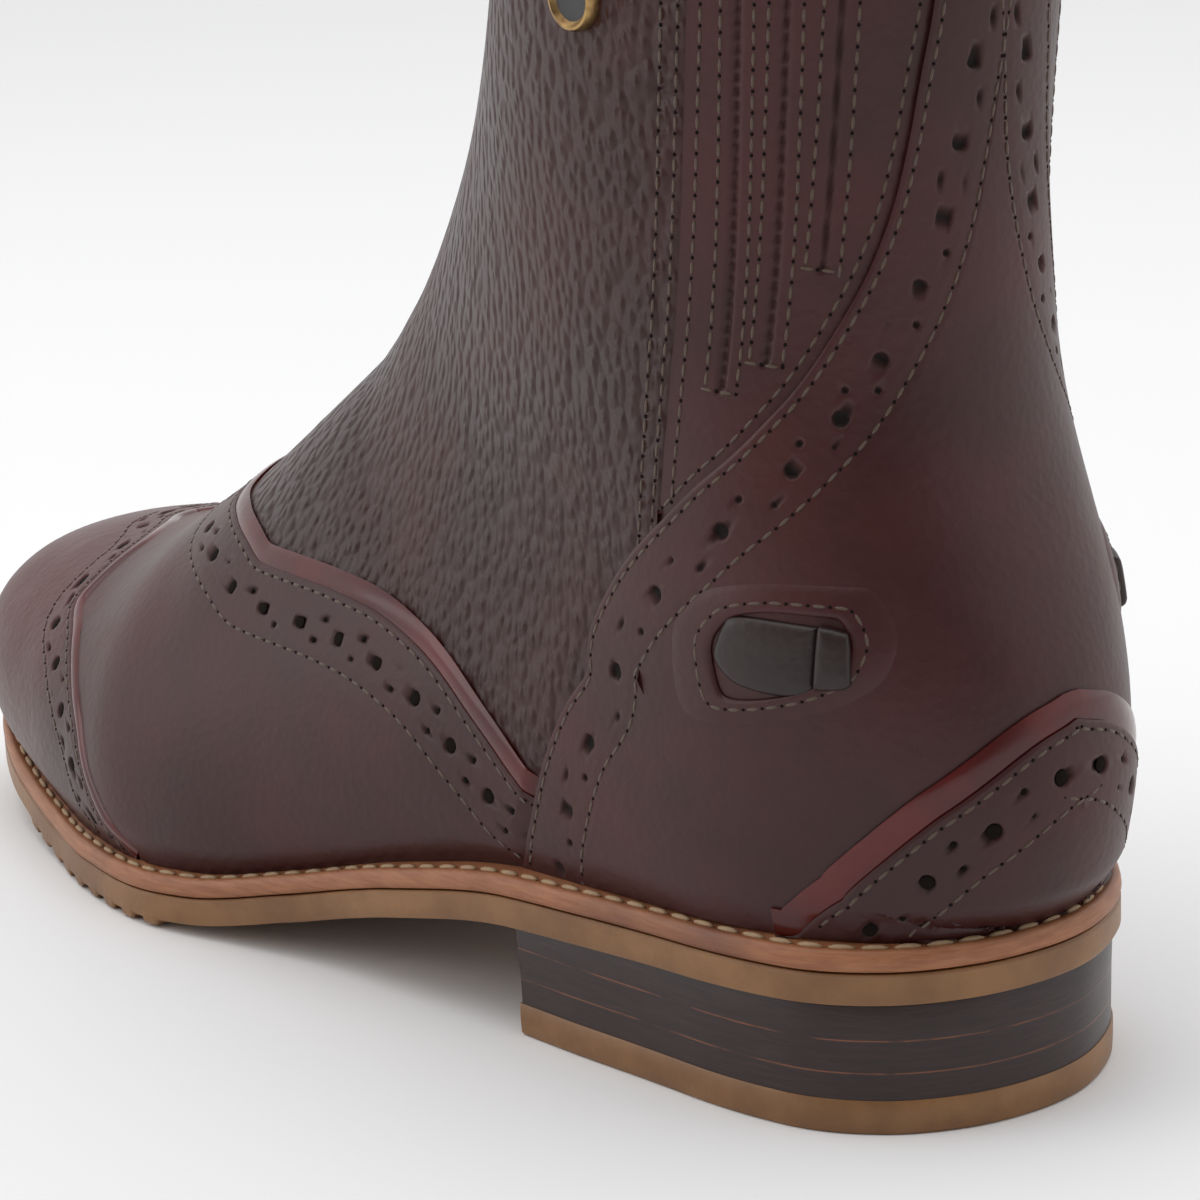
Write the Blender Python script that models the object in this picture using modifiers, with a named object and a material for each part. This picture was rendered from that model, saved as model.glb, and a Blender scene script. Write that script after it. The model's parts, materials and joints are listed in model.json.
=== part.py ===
"""Left paddock boot: an ankle boot with a welted gum sole, a stacked heel and elastic gores.

The boot stands on its sole. +X runs to the toe, +Y to the boot's left, which is its outer side, and +Z up.
The origin is on the floor, at the middle of the heel's ground face. Every length is in metres.
"""
import math
from collections import namedtuple

import bmesh
import bpy
import numpy as np
from mathutils import Vector

# Driving sizes
LENGTH = 0.262
BALL_WIDTH = 0.0965
HEEL_WIDTH = 0.0745
COLLAR_HEIGHT = 0.182
COLLAR_WIDTH = 0.072
HEEL_LENGTH = 0.078
TOE_SPRING = 0.016
HEEL_SEAT_HEIGHT = 0.0200
SOLE_THICKNESS = 0.0048
WELT_THICKNESS = 0.0032
TOP_LIFT_THICKNESS = 0.0052
WALL = 0.0020
OVERLAY = 0.0011
GAP = 0.0003
LAYER_GAP = 0.0007
SEAT_GAP = 0.0005
WELT_SHOW = 0.0038
WELT_LAP = 0.0075
HEEL_SET_IN = 0.0012
INSOLE_THICKNESS = 0.0026
RIB_HEIGHT = 0.0010
RIB_WIDTH = 0.0036
RIB_PITCH = 0.0066
RIB_COUNT = 9
RIB_START = 0.158
PIPING_THICKNESS = 0.0007
CAP_PIPING_WIDTH = 0.0040
VAMP_PIPING_WIDTH = 0.0042
GORE_THICKNESS = 0.0009
SPUR_PAD_THICKNESS = 0.0028
SPUR_KEEPER_THICKNESS = 0.0034
BADGE_DIAMETER = 0.0095
BADGE_THICKNESS = 0.0016
FOREPART_HEM = 0.0016
HEEL_HEM = 0.0022
COUNTER_EDGE_GAP = 0.013

# The heel's ground face runs from its back to its breast, and its middle is the boot's origin
HEEL_MIDDLE = (HEEL_SET_IN + HEEL_LENGTH) / 2

# The sole seen from above: half its width and the place of its middle line, as shares of the named width
Plan = namedtuple("Plan", "along half of middle")
SOLE_PLAN = (
    Plan(0.000, 0.000, HEEL_WIDTH, 0.000),
    Plan(0.010, 0.178, HEEL_WIDTH, 0.010),
    Plan(0.040, 0.338, HEEL_WIDTH, 0.012),
    Plan(0.090, 0.449, HEEL_WIDTH, 0.002),
    Plan(0.160, 0.495, HEEL_WIDTH, -0.009),
    Plan(0.240, 0.500, HEEL_WIDTH, 0.003),
    Plan(0.340, 0.465, HEEL_WIDTH, 0.056),
    Plan(0.440, 0.361, BALL_WIDTH, 0.062),
    Plan(0.540, 0.411, BALL_WIDTH, 0.062),
    Plan(0.620, 0.477, BALL_WIDTH, 0.044),
    Plan(0.700, 0.500, BALL_WIDTH, -0.004),
    Plan(0.770, 0.476, BALL_WIDTH, -0.034),
    Plan(0.840, 0.432, BALL_WIDTH, -0.046),
    Plan(0.900, 0.364, BALL_WIDTH, -0.046),
    Plan(0.950, 0.264, BALL_WIDTH, -0.046),
    Plan(0.985, 0.142, BALL_WIDTH, -0.041),
    Plan(1.000, 0.000, BALL_WIDTH, -0.037),
)

# The underside of the sole seen from the side: its height as shares of the heel seat's height or of the toe spring
Rise = namedtuple("Rise", "along up of")
SOLE_RISE = (
    Rise(0.00, 1.000, HEEL_SEAT_HEIGHT),
    Rise(0.15, 0.960, HEEL_SEAT_HEIGHT),
    Rise(0.30, 0.870, HEEL_SEAT_HEIGHT),
    Rise(0.40, 0.640, HEEL_SEAT_HEIGHT),
    Rise(0.50, 0.300, HEEL_SEAT_HEIGHT),
    Rise(0.58, 0.090, HEEL_SEAT_HEIGHT),
    Rise(0.66, 1.000, RIB_HEIGHT),
    Rise(0.73, 1.000, RIB_HEIGHT),
    Rise(0.80, 0.170, TOE_SPRING),
    Rise(0.90, 0.500, TOE_SPRING),
    Rise(1.00, 1.000, TOE_SPRING),
)

# The upper's sections, from the toe to the collar. Each runs from its front or top point to its seat or back point.
# Along is a share of the length and up a share of the collar's height. No seat height means that it sits on the welt.
FEATHER = WELT_SHOW / LENGTH
Section = namedtuple("Section", "front_along front_up seat_along seat_up half of round widest lean")
SECTIONS = (
    Section(1 - FEATHER, 0.142, 1 - FEATHER, None, 0.000, BALL_WIDTH, 2.1, 0.60, 0.000),
    Section(0.9870, 0.178, 0.9760, None, 0.100, BALL_WIDTH, 2.1, 0.62, 0.000),
    Section(0.9780, 0.209, 0.9600, None, 0.190, BALL_WIDTH, 2.1, 0.65, 0.000),
    Section(0.9560, 0.234, 0.9320, None, 0.280, BALL_WIDTH, 2.1, 0.69, 0.000),
    Section(0.9180, 0.254, 0.8960, None, 0.350, BALL_WIDTH, 2.1, 0.72, 0.000),
    Section(0.8680, 0.269, 0.8500, None, 0.404, BALL_WIDTH, 2.1, 0.74, 0.000),
    Section(0.8150, 0.281, 0.7970, None, 0.440, BALL_WIDTH, 2.1, 0.75, 0.000),
    Section(0.7600, 0.304, 0.7380, None, 0.464, BALL_WIDTH, 2.0, 0.76, -0.010),
    Section(0.7030, 0.345, 0.6720, None, 0.468, BALL_WIDTH, 1.9, 0.78, -0.020),
    Section(0.6530, 0.386, 0.5950, None, 0.432, BALL_WIDTH, 1.8, 0.79, -0.025),
    Section(0.6180, 0.427, 0.5040, None, 0.500, HEEL_WIDTH, 1.75, 0.79, -0.025),
    Section(0.5860, 0.464, 0.4050, None, 0.465, HEEL_WIDTH, 1.7, 0.78, -0.020),
    Section(0.5600, 0.500, 0.2980, None, 0.465, HEEL_WIDTH, 1.7, 0.76, -0.010),
    Section(0.5390, 0.533, 0.1910, None, 0.468, HEEL_WIDTH, 1.7, 0.74, 0.000),
    Section(0.5240, 0.560, 0.0920, None, 0.466, HEEL_WIDTH, 1.7, 0.72, 0.000),
    Section(0.5150, 0.577, 0.0360, None, 0.464, HEEL_WIDTH, 1.7, 0.71, 0.000),
    Section(0.5090, 0.588, FEATHER, None, 0.462, HEEL_WIDTH, 1.7, 0.70, 0.000),
    Section(0.4960, 0.612, 0.0035, 0.190, 0.460, HEEL_WIDTH, 1.75, 0.68, 0.000),
    Section(0.4760, 0.650, -0.0050, 0.262, 0.455, HEEL_WIDTH, 1.8, 0.66, 0.000),
    Section(0.4540, 0.695, 0.0010, 0.343, 0.452, HEEL_WIDTH, 1.85, 0.63, 0.000),
    Section(0.4320, 0.745, 0.0220, 0.430, 0.462, COLLAR_WIDTH, 1.9, 0.60, 0.000),
    Section(0.4110, 0.796, 0.0440, 0.520, 0.464, COLLAR_WIDTH, 1.95, 0.56, 0.000),
    Section(0.3920, 0.846, 0.0520, 0.620, 0.474, COLLAR_WIDTH, 2.0, 0.53, 0.000),
    Section(0.3770, 0.898, 0.0500, 0.730, 0.486, COLLAR_WIDTH, 2.0, 0.51, 0.000),
    Section(0.3670, 0.950, 0.0420, 0.855, 0.495, COLLAR_WIDTH, 2.0, 0.50, 0.000),
    Section(0.3620, 1.000, 0.0350, 0.995, 0.500, COLLAR_WIDTH, 2.0, 0.50, 0.000),
)
CLOSING = 16
COLLAR = len(SECTIONS) - 1


def smooth(at, knots, values):
    """A smooth curve through the knots that never swings past them."""
    knots = np.asarray(knots, float)
    values = np.asarray(values, float)
    step = np.diff(knots)
    slope = np.diff(values) / step
    lean = np.zeros(len(knots))
    same = slope[:-1] * slope[1:] > 0
    weight_a = 2 * step[1:] + step[:-1]
    weight_b = step[1:] + 2 * step[:-1]
    safe = np.where(same, slope[:-1], 1.0), np.where(same, slope[1:], 1.0)
    lean[1:-1] = np.where(same, (weight_a + weight_b) / (weight_a / safe[0] + weight_b / safe[1]), 0.0)
    lean[0] = slope[0]
    lean[-1] = slope[-1]
    at = np.clip(at, knots[0], knots[-1])
    cell = np.clip(np.searchsorted(knots, at, side="right") - 1, 0, len(step) - 1)
    t = (at - knots[cell]) / step[cell]
    a = values[cell]
    b = values[cell + 1]
    da = lean[cell] * step[cell]
    db = lean[cell + 1] * step[cell]
    return a + t * (da + t * (3 * (b - a) - 2 * da - db + t * (2 * (a - b) + da + db)))


def sole_half(along):
    """Half the welt's width at a share of the length, rounded off at heel and toe as an ellipse is."""
    turn = np.arccos(1 - 2 * np.clip(along, 0, 1))
    knots = np.arccos(1 - 2 * np.array([row.along for row in SOLE_PLAN]))
    return smooth(turn, knots, [row.half * row.of for row in SOLE_PLAN])


def sole_middle(along):
    return smooth(along, [row.along for row in SOLE_PLAN], [row.middle * row.of for row in SOLE_PLAN])


def sole_bottom(x):
    """The height of the outsole's underside at a distance from the back of the welt."""
    return smooth(np.asarray(x, float) / LENGTH, [row.along for row in SOLE_RISE], [row.up * row.of for row in SOLE_RISE])


def welt_top(x):
    return sole_bottom(x) + SOLE_THICKNESS + GAP + WELT_THICKNESS


def plan_loop(inset, count):
    """The welt's outline seen from above, drawn in by the inset, as a loop that starts at the heel's back."""
    turn = np.linspace(0, 2 * math.pi, 721)[:-1]
    along = (1 - np.cos(turn)) / 2
    side = np.where(turn < math.pi, 1.0, -1.0)
    x = along * LENGTH
    y = sole_middle(along) + side * sole_half(along)
    dx = np.roll(x, -3) - np.roll(x, 3)
    dy = np.roll(y, -3) - np.roll(y, 3)
    size = np.hypot(dx, dy)
    x = x + inset * dy / size
    y = y - inset * dx / size
    run = np.concatenate([[0], np.cumsum(np.hypot(np.diff(np.append(x, x[0])), np.diff(np.append(y, y[0]))))])
    at = np.linspace(0, run[-1], count + 1)[:-1]
    return np.interp(at, run, np.append(x, x[0])), np.interp(at, run, np.append(y, y[0]))


def edge_sides(x, inset):
    """The outer and inner edge of the welt's outline, drawn in by the inset, at a distance from the welt's back."""
    loop_x, loop_y = plan_loop(inset, 720)
    toe = int(np.argmax(loop_x))
    heel = int(np.argmin(loop_x))
    order = (np.arange(720) + heel) % 720
    toe_place = int(np.where(order == toe)[0][0])
    first = order[:toe_place + 1]
    second = np.append(order[toe_place:], heel)[::-1]
    return np.interp(x, loop_x[first], loop_y[first]), np.interp(x, loop_x[second], loop_y[second])


def section_sizes(levels):
    """The sections' sizes at the given levels, which count from 0 at the toe and may lie between two rows."""
    knots = np.arange(len(SECTIONS))

    def column(values):
        return smooth(levels, knots, values)

    front_x = column([row.front_along * LENGTH for row in SECTIONS])
    seat_x = column([row.seat_along * LENGTH for row in SECTIONS])
    open_below = levels < CLOSING
    outer, inner = edge_sides(seat_x, WELT_SHOW)
    seat_half = np.where(open_below, (outer - inner) / 2, 0.0)
    steady = np.clip((15 - levels) / 5, 0, 1)
    middle = (outer + inner) / 2 * steady * steady * (3 - 2 * steady)
    back_z = column([(row.seat_up or 0.0) * COLLAR_HEIGHT if row.seat_up else welt_top(row.seat_along * LENGTH) + SEAT_GAP
                     for row in SECTIONS])
    seat_z = np.where(open_below, welt_top(seat_x) + SEAT_GAP, back_z)
    front_z = column([row.front_up * COLLAR_HEIGHT for row in SECTIONS])
    toe_rise = np.clip(levels, 0, 1)
    front_z = seat_z * (1 - toe_rise) + front_z * toe_rise
    half = np.maximum(column([row.half * row.of for row in SECTIONS]), seat_half + 0.0008 * toe_rise)
    roundness = column([row.round for row in SECTIONS])
    widest = column([row.widest for row in SECTIONS])
    lean = column([row.lean * row.of for row in SECTIONS]) + middle
    return front_x, front_z, seat_x, seat_z, half, seat_half, roundness, widest, middle, lean


def half_sections(levels):
    """Each level's half section as a fine line: its run from front to seat, its half width and its share of length."""
    front_x, front_z, seat_x, seat_z, half, seat_half, roundness, widest, _, _ = (
        value[:, None] for value in section_sizes(levels))
    turn = np.linspace(0, math.pi / 2, 41)[None, :]
    upper_run = widest * (1 - np.cos(turn) ** (2 / roundness))
    upper_half = half * np.sin(turn) ** (2 / roundness)
    sine = np.sin(turn[:, 1:])
    lower_run = widest + (1 - widest) * sine
    tuck = np.where(half > 0, seat_half / np.maximum(half, 1e-9), 0.0)
    lower_half = seat_half + (half - seat_half) * (tuck * (1 - sine ** 2) + (1 - tuck) * np.cos(turn[:, 1:]))
    run = np.concatenate([upper_run, lower_run], 1)
    width = np.concatenate([upper_half, lower_half], 1)
    tall = np.hypot(seat_x - front_x, seat_z - front_z)
    piece = np.hypot(np.diff(run, axis=1) * tall, np.diff(width, axis=1))
    share = np.concatenate([np.zeros((len(levels), 1)), np.cumsum(piece, 1)], 1)
    share = share / np.maximum(share[:, -1:], 1e-9)
    return run, width, share


def cubic(t):
    """The weights of four entries at a place between the middle two."""
    return (2 * t * t - t - t ** 3) / 2, (2 - 5 * t * t + 3 * t ** 3) / 2, (t + 4 * t * t - 3 * t ** 3) / 2, (t ** 3 - t * t) / 2


def side_places(levels, around):
    """Where points lie as seen from the side, and the half width there."""
    front_x, front_z, seat_x, seat_z, *_ = section_sizes(levels)
    run, width, share = half_sections(levels)
    reach = np.abs(around)
    at_run = np.array([np.interp(r, s, v) for r, s, v in zip(reach, share, run)])
    half = np.array([np.interp(r, s, v) for r, s, v in zip(reach, share, width)])
    return front_x + (seat_x - front_x) * at_run, front_z + (seat_z - front_z) * at_run, half, at_run


EVEN_FROM = 7
EVEN_REACH = 0.011
EVEN_STEP = 0.0025
EVEN_X = np.arange(-0.010, 0.215, EVEN_STEP)
EVEN_Z = np.arange(0.010, 0.190, EVEN_STEP)


def even_halves():
    """The half width over a net seen from the side, evened so that no ridge shows where the sections stop turning.

    Each entry is a quadratic fitted to the squares of the half widths within a short reach.
    """
    levels, around = np.meshgrid(np.arange(EVEN_FROM - 1, COLLAR + 0.01, 0.25), np.linspace(0, 1, 31), indexing="ij")
    x, z, half, _ = side_places(levels.ravel(), around.ravel())
    across = x.reshape(levels.shape), z.reshape(levels.shape)
    area = np.abs(np.gradient(across[0], axis=0) * np.gradient(across[1], axis=1)
                  - np.gradient(across[1], axis=0) * np.gradient(across[0], axis=1)).ravel()
    net = np.zeros((len(EVEN_X), len(EVEN_Z)))
    for i, at_x in enumerate(EVEN_X):
        for j, at_z in enumerate(EVEN_Z):
            dx = (x - at_x) / EVEN_REACH
            dz = (z - at_z) / EVEN_REACH
            weight = np.exp(-(dx * dx + dz * dz) / 2) * (area + 1e-12)
            near = weight > weight.max() * 1e-5
            dx, dz = dx[near], dz[near]
            base = np.stack([np.ones(len(dx)), dx, dz, dx * dx, dz * dz, dx * dz], 1)
            pull = base * weight[near][:, None]
            net[i, j] = np.linalg.lstsq(base.T @ pull, pull.T @ (half[near] ** 2), rcond=1e-7)[0][0]
    return net


EVEN_NET = even_halves()


def evened(levels, around, x, z, half):
    """The half widths, taken from the even net over the ankle and from the sections near every edge."""
    row = np.clip((x - EVEN_X[0]) / EVEN_STEP, 1, len(EVEN_X) - 2.001)
    column = np.clip((z - EVEN_Z[0]) / EVEN_STEP, 1, len(EVEN_Z) - 2.001)
    fitted = 0.0
    for step_row, by_row in zip(range(-1, 3), cubic(row - np.floor(row))):
        for step_column, by_column in zip(range(-1, 3), cubic(column - np.floor(column))):
            fitted = fitted + by_row * by_column * EVEN_NET[np.floor(row).astype(int) + step_row,
                                                            np.floor(column).astype(int) + step_column]
    reach = np.abs(around)
    amount = 1.0
    for share in (reach / 0.07, (0.98 - reach) / 0.12, (levels - EVEN_FROM) / 3, (COLLAR - levels) / 2):
        share = np.clip(share, 0, 1)
        amount = amount * share * share * (3 - 2 * share)
    return half + amount * (np.sqrt(np.maximum(fitted, 0.25 * half ** 2)) - half)


def upper_points(levels, around):
    """Points of the upper's outer face. Around runs from -1 at the inner seat over 0 at the front to 1 outside."""
    levels = np.asarray(levels, float)
    around = np.asarray(around, float)
    flat_levels = levels.ravel()
    flat_around = around.ravel()
    *_, middle, lean = section_sizes(flat_levels)
    x, z, half, run = side_places(flat_levels, flat_around)
    half = evened(flat_levels, flat_around, x, z, half)
    y = lean + (middle - lean) * run + np.sign(flat_around) * half
    return np.stack([x, y, z], 1).reshape(levels.shape + (3,))


def upper_offset(levels, around, distance):
    """Points at a distance outside the upper's outer face."""
    levels, around = np.broadcast_arrays(np.asarray(levels, float), np.asarray(around, float))
    step = 0.02
    low = np.clip(levels - step, 0.02, COLLAR)
    high = np.clip(levels + step, 0.04, COLLAR)
    left = np.clip(around - step, -1, 1)
    right = np.clip(around + step, -1, 1)
    along = upper_points(high, around) - upper_points(low, around)
    across = upper_points(np.maximum(levels, 0.03), right) - upper_points(np.maximum(levels, 0.03), left)
    normal = np.cross(across, along)
    at_back = (np.abs(around) > 0.999) & (levels >= CLOSING - 0.001)
    normal[..., 1] = np.where(at_back, 0.0, normal[..., 1])
    normal = normal / np.maximum(np.linalg.norm(normal, axis=-1, keepdims=True), 1e-12)
    return upper_points(levels, around) + normal * distance


def on_side(along, up):
    """The level and place around of a point of the outer side, given as seen from the side in metres."""
    levels = np.linspace(0.3, COLLAR, 1201)
    front_x, front_z, seat_x, seat_z, *_ = section_sizes(levels)
    dx = seat_x - front_x
    dz = seat_z - front_z
    run, _, share = half_sections(levels)
    found = []
    for x, z in zip(along, up):
        miss = dx * (z - front_z) - dz * (x - front_x)
        part = ((x - front_x) * dx + (z - front_z) * dz) / (dx * dx + dz * dz)
        near = np.abs(miss) / np.hypot(dx, dz) + 10 * np.maximum(np.abs(part - 0.5) - 0.52, 0)
        best = int(np.argmin(near))
        found.append((levels[best], np.interp(np.clip(part[best], 0, 1), run[best], share[best])))
    return np.array(found)


# The seams seen from the outer side: along is a share of the length and up a share of the collar's height
Mark = namedtuple("Mark", "along up")
CAP_SEAM = (
    Mark(0.806, 0.268),
    Mark(0.788, 0.246),
    Mark(0.761, 0.213),
    Mark(0.738, 0.180),
    Mark(0.718, 0.153),
    Mark(0.698, 0.114),
    Mark(0.678, 0.077),
    Mark(0.662, 0.053),
)
CAP_SEAM_FRONT = 0.838
VAMP_SEAM = (
    Mark(0.605, 0.347),
    Mark(0.555, 0.337),
    Mark(0.494, 0.335),
    Mark(0.440, 0.329),
    Mark(0.411, 0.320),
    Mark(0.374, 0.302),
    Mark(0.335, 0.268),
    Mark(0.312, 0.242),
    Mark(0.296, 0.216),
    Mark(0.300, 0.190),
    Mark(0.304, 0.160),
    Mark(0.308, 0.142),
)
VAMP_SEAM_FRONT = 0.652
QUARTER_SEAM = (
    Mark(0.300, 0.142),
    Mark(0.292, 0.157),
    Mark(0.283, 0.195),
    Mark(0.273, 0.233),
    Mark(0.256, 0.289),
    Mark(0.241, 0.336),
    Mark(0.228, 0.373),
    Mark(0.212, 0.404),
    Mark(0.196, 0.434),
    Mark(0.174, 0.461),
    Mark(0.149, 0.496),
    Mark(0.122, 0.532),
    Mark(0.101, 0.571),
    Mark(0.085, 0.621),
    Mark(0.075, 0.660),
    Mark(0.067, 0.707),
    Mark(0.060, 0.760),
    Mark(0.054, 0.819),
    Mark(0.049, 0.865),
    Mark(0.044, 0.999),
)
PANEL_SEAM = (
    Mark(0.168, 0.470),
    Mark(0.164, 0.510),
    Mark(0.160, 0.580),
    Mark(0.153, 0.682),
    Mark(0.146, 0.770),
    Mark(0.138, 0.870),
    Mark(0.130, 0.999),
)
COUNTER_SEAM = (
    Mark(0.092, 0.152),
    Mark(0.087, 0.158),
    Mark(0.072, 0.183),
    Mark(0.047, 0.225),
    Mark(0.023, 0.264),
    Mark(0.010, 0.291),
    Mark(0.001, 0.311),
)
COUNTER_TOP = 0.330


def seam_line(marks):
    """The level and place around of each mark of a seam."""
    along = [mark.along * LENGTH for mark in marks]
    up = [mark.up * COLLAR_HEIGHT for mark in marks]
    return on_side(along, up)


def level_of_front(along):
    """The level whose front point lies at a share of the length."""
    levels = np.linspace(2, COLLAR, 1001)
    front_x = section_sizes(levels)[0]
    return float(np.interp(-along * LENGTH, -front_x, levels))


def level_of_back(up):
    """The level whose back point lies at a share of the collar's height."""
    levels = np.linspace(CLOSING, COLLAR, 1001)
    return float(np.interp(up * COLLAR_HEIGHT, section_sizes(levels)[3], levels))


def cross_seam(marks, front_along):
    """A seam over the foot, as the levels and the places around that it passes on one side."""
    line = seam_line(marks)
    order = np.argsort(line[:, 1])
    levels = np.concatenate([[level_of_front(front_along)], line[order, 0]])
    around = np.concatenate([[0.0], line[order, 1]])
    return levels, around


def level_on_seam(seam, around, shift=0.0):
    """The seam's level at a place around, moved towards the collar by a length."""
    levels, places = seam
    level = smooth(np.abs(around), places, levels)
    if shift == 0.0:
        return level
    ahead = upper_points(level + 0.05, around)
    here = upper_points(level, around)
    return level + 0.05 * shift / np.maximum(np.linalg.norm(ahead - here, axis=-1), 1e-6)


def around_on_seam(marks, levels, last_level=None):
    """The place around where a seam crosses each level, on the outer side."""
    line = seam_line(marks)
    seam_levels = line[:, 0]
    places = line[:, 1]
    if last_level is not None:
        seam_levels = np.append(seam_levels, last_level)
        places = np.append(places, 1.0)
    return np.interp(levels, seam_levels, places)


def surface_finish(name, colour, roughness, metallic=0.0):
    finish = bpy.data.materials.new(name)
    finish.use_nodes = True
    shader = finish.node_tree.nodes["Principled BSDF"]
    shader.inputs["Base Color"].default_value = (*colour, 1.0)
    shader.inputs["Roughness"].default_value = roughness
    shader.inputs["Metallic"].default_value = metallic
    finish.diffuse_color = (*colour, 1.0)
    return finish


def place(name, shape, finish):
    """A finished bmesh as a named object of the boot, moved so that the heel's middle is the origin."""
    bmesh.ops.remove_doubles(shape, verts=shape.verts, dist=0.00002)
    bmesh.ops.translate(shape, verts=shape.verts, vec=(-HEEL_MIDDLE, 0, 0))
    mesh = bpy.data.meshes.new(name)
    shape.to_mesh(mesh)
    shape.free()
    mesh.materials.append(finish)
    mesh.shade_smooth()
    mesh.set_sharp_from_angle(angle=math.radians(35))
    made = bpy.data.objects.new(name, mesh)
    boot.objects.link(made)
    return made


def add_grid(shape, points, turned=False):
    """A net of faces through rows of points."""
    rows = [[shape.verts.new(Vector(point)) for point in row] for row in points]
    for row, following in zip(rows, rows[1:]):
        for i in range(len(row) - 1):
            corners = [row[i], row[i + 1], following[i + 1], following[i]]
            if turned:
                corners.reverse()
            shape.faces.new(corners)


def give_wall(made, thickness, outwards):
    wall = made.modifiers.new("wall", "SOLIDIFY")
    wall.thickness = thickness
    wall.offset = 1.0 if outwards else -1.0
    wall.use_even_offset = True
    wall.use_quality_normals = True


def both_sides(shape, levels, around, distance):
    """A net on the outer side and its like on the inner side, for a piece that wraps round the back."""
    levels, around = np.broadcast_arrays(levels, around)
    add_grid(shape, upper_offset(levels, around, distance))
    add_grid(shape, upper_offset(levels, -around, distance), turned=True)


def hem(levels, rise):
    """The greatest place around at each level: a rise above the welt, or the back's middle where that is higher."""
    shape = np.shape(levels)
    levels = np.ravel(levels)
    front_x, front_z, seat_x, seat_z, *_ = section_sizes(levels)
    run, _, share = half_sections(levels)
    limit = np.ones(len(levels))
    for _ in range(3):
        lowest = welt_top(front_x + (seat_x - front_x) * limit) + SEAT_GAP + rise
        limit = np.clip((front_z - lowest) / np.maximum(front_z - seat_z, rise / 2), 0, 1)
    places = np.array([np.interp(end, line, around) for end, line, around in zip(limit, run, share)])
    return places.reshape(shape)


def first_level(marks, top=None):
    """The first level at which a piece that wraps the heel is wide enough to model."""
    trial = np.linspace(seam_line(marks)[0, 0], CLOSING, 200)
    wide = hem(trial, HEEL_HEM) - around_on_seam(marks, trial, top) > 0.02
    return trial[int(np.argmax(wide))]


def make_upper(finish):
    shape = bmesh.new()
    toe = np.array([0.02, 0.12, 0.35, 0.7, 1.1, 1.6, 2.2, 3.0, 4.0, 5.0])
    waist = np.array([6, 6.5, 7, 7.5, 8, 9, 9.5, 10, 10.5, 11, 11.5, 12, 12.5, 13.2, 14, 14.7, 15.4])
    levels = np.concatenate([toe, waist, [CLOSING, 16.4], np.arange(17, COLLAR + 1)])
    around = np.linspace(0, 1, 16)
    both_sides(shape, levels[:, None], around[None, :], 0.0)
    tip = [vertex for vertex in shape.verts if (vertex.co - Vector(upper_points(0.02, 0.5))).length < 0.0012]
    bmesh.ops.pointmerge(shape, verts=tip, merge_co=Vector(upper_points(0.02, 0.5)))
    made = place("upper", shape, finish)
    give_wall(made, WALL, outwards=False)
    return made


def slab(name, finish, stations, inset, low, high, turned=False):
    """A flat layer of the sole: rows across the boot, each with its two edges and its two heights."""
    shape = bmesh.new()
    outer, inner = edge_sides(stations, inset)
    rows = []
    for x, left, right, under, over in zip(stations, outer, inner, low, high):
        ring = [(x, left, under), (x, right, under), (x, right, over), (x, left, over)]
        rows.append([shape.verts.new(point) for point in ring])
    for row, following in zip(rows, rows[1:]):
        for i in range(4):
            j = (i + 1) % 4
            shape.faces.new([row[i], row[j], following[j], following[i]])
    shape.faces.new(rows[0][::-1])
    shape.faces.new(rows[-1])
    bmesh.ops.recalc_face_normals(shape, faces=shape.faces)
    return place(name, shape, finish)


def spaced(start, end, count):
    """Stations from start to end that crowd together at both ends."""
    turn = np.linspace(0, math.pi, count)
    return start + (end - start) * (1 - np.cos(turn)) / 2


def make_welt(finish):
    shape = bmesh.new()
    count = 92
    rim_x, rim_y = plan_loop(0.0, count)
    lap_x, lap_y = [], []
    for i in range(count):
        run_x = rim_x[(i + 1) % count] - rim_x[i - 1]
        run_y = rim_y[(i + 1) % count] - rim_y[i - 1]
        size = math.hypot(run_x, run_y)
        lap_x.append(rim_x[i] + WELT_LAP * run_y / size)
        lap_y.append(rim_y[i] - WELT_LAP * run_x / size)
    under_rim = sole_bottom(rim_x) + SOLE_THICKNESS + GAP
    under_lap = sole_bottom(np.array(lap_x)) + SOLE_THICKNESS + GAP
    rings = []
    for i in range(count):
        ring = [
            (rim_x[i], rim_y[i], under_rim[i]),
            (lap_x[i], lap_y[i], under_lap[i]),
            (lap_x[i], lap_y[i], under_lap[i] + WELT_THICKNESS),
            (rim_x[i], rim_y[i], under_rim[i] + WELT_THICKNESS),
        ]
        rings.append([shape.verts.new(point) for point in ring])
    for i, ring in enumerate(rings):
        following = rings[(i + 1) % count]
        for j in range(4):
            k = (j + 1) % 4
            shape.faces.new([ring[j], ring[k], following[k], following[j]])
    bmesh.ops.recalc_face_normals(shape, faces=shape.faces)
    return place("welt", shape, finish)


def make_outsole(finish):
    """The gum outsole with its tread ribs across the ball."""
    edges = [0.0003, 0.0012]
    ramp = 0.0003
    plain = [value for value in spaced(0.0, LENGTH, 36) if 0.002 < value < LENGTH - 0.002]
    rib_end = RIB_START + RIB_COUNT * RIB_PITCH
    stations = edges + [value for value in plain if not RIB_START - 0.002 < value < rib_end]
    stations += [LENGTH - value for value in edges]
    ribs = []
    for i in range(RIB_COUNT):
        start = RIB_START + i * RIB_PITCH
        ribs += [(start, 0.0), (start + ramp, RIB_HEIGHT), (start + RIB_WIDTH, RIB_HEIGHT), (start + RIB_WIDTH + ramp, 0.0)]
    rows = sorted([(value, 0.0) for value in stations] + ribs)
    x = np.array([row[0] for row in rows])
    depth = np.array([row[1] for row in rows])
    return slab("outsole", finish, x, 0.0, sole_bottom(x) - depth, sole_bottom(x) + SOLE_THICKNESS)


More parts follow.
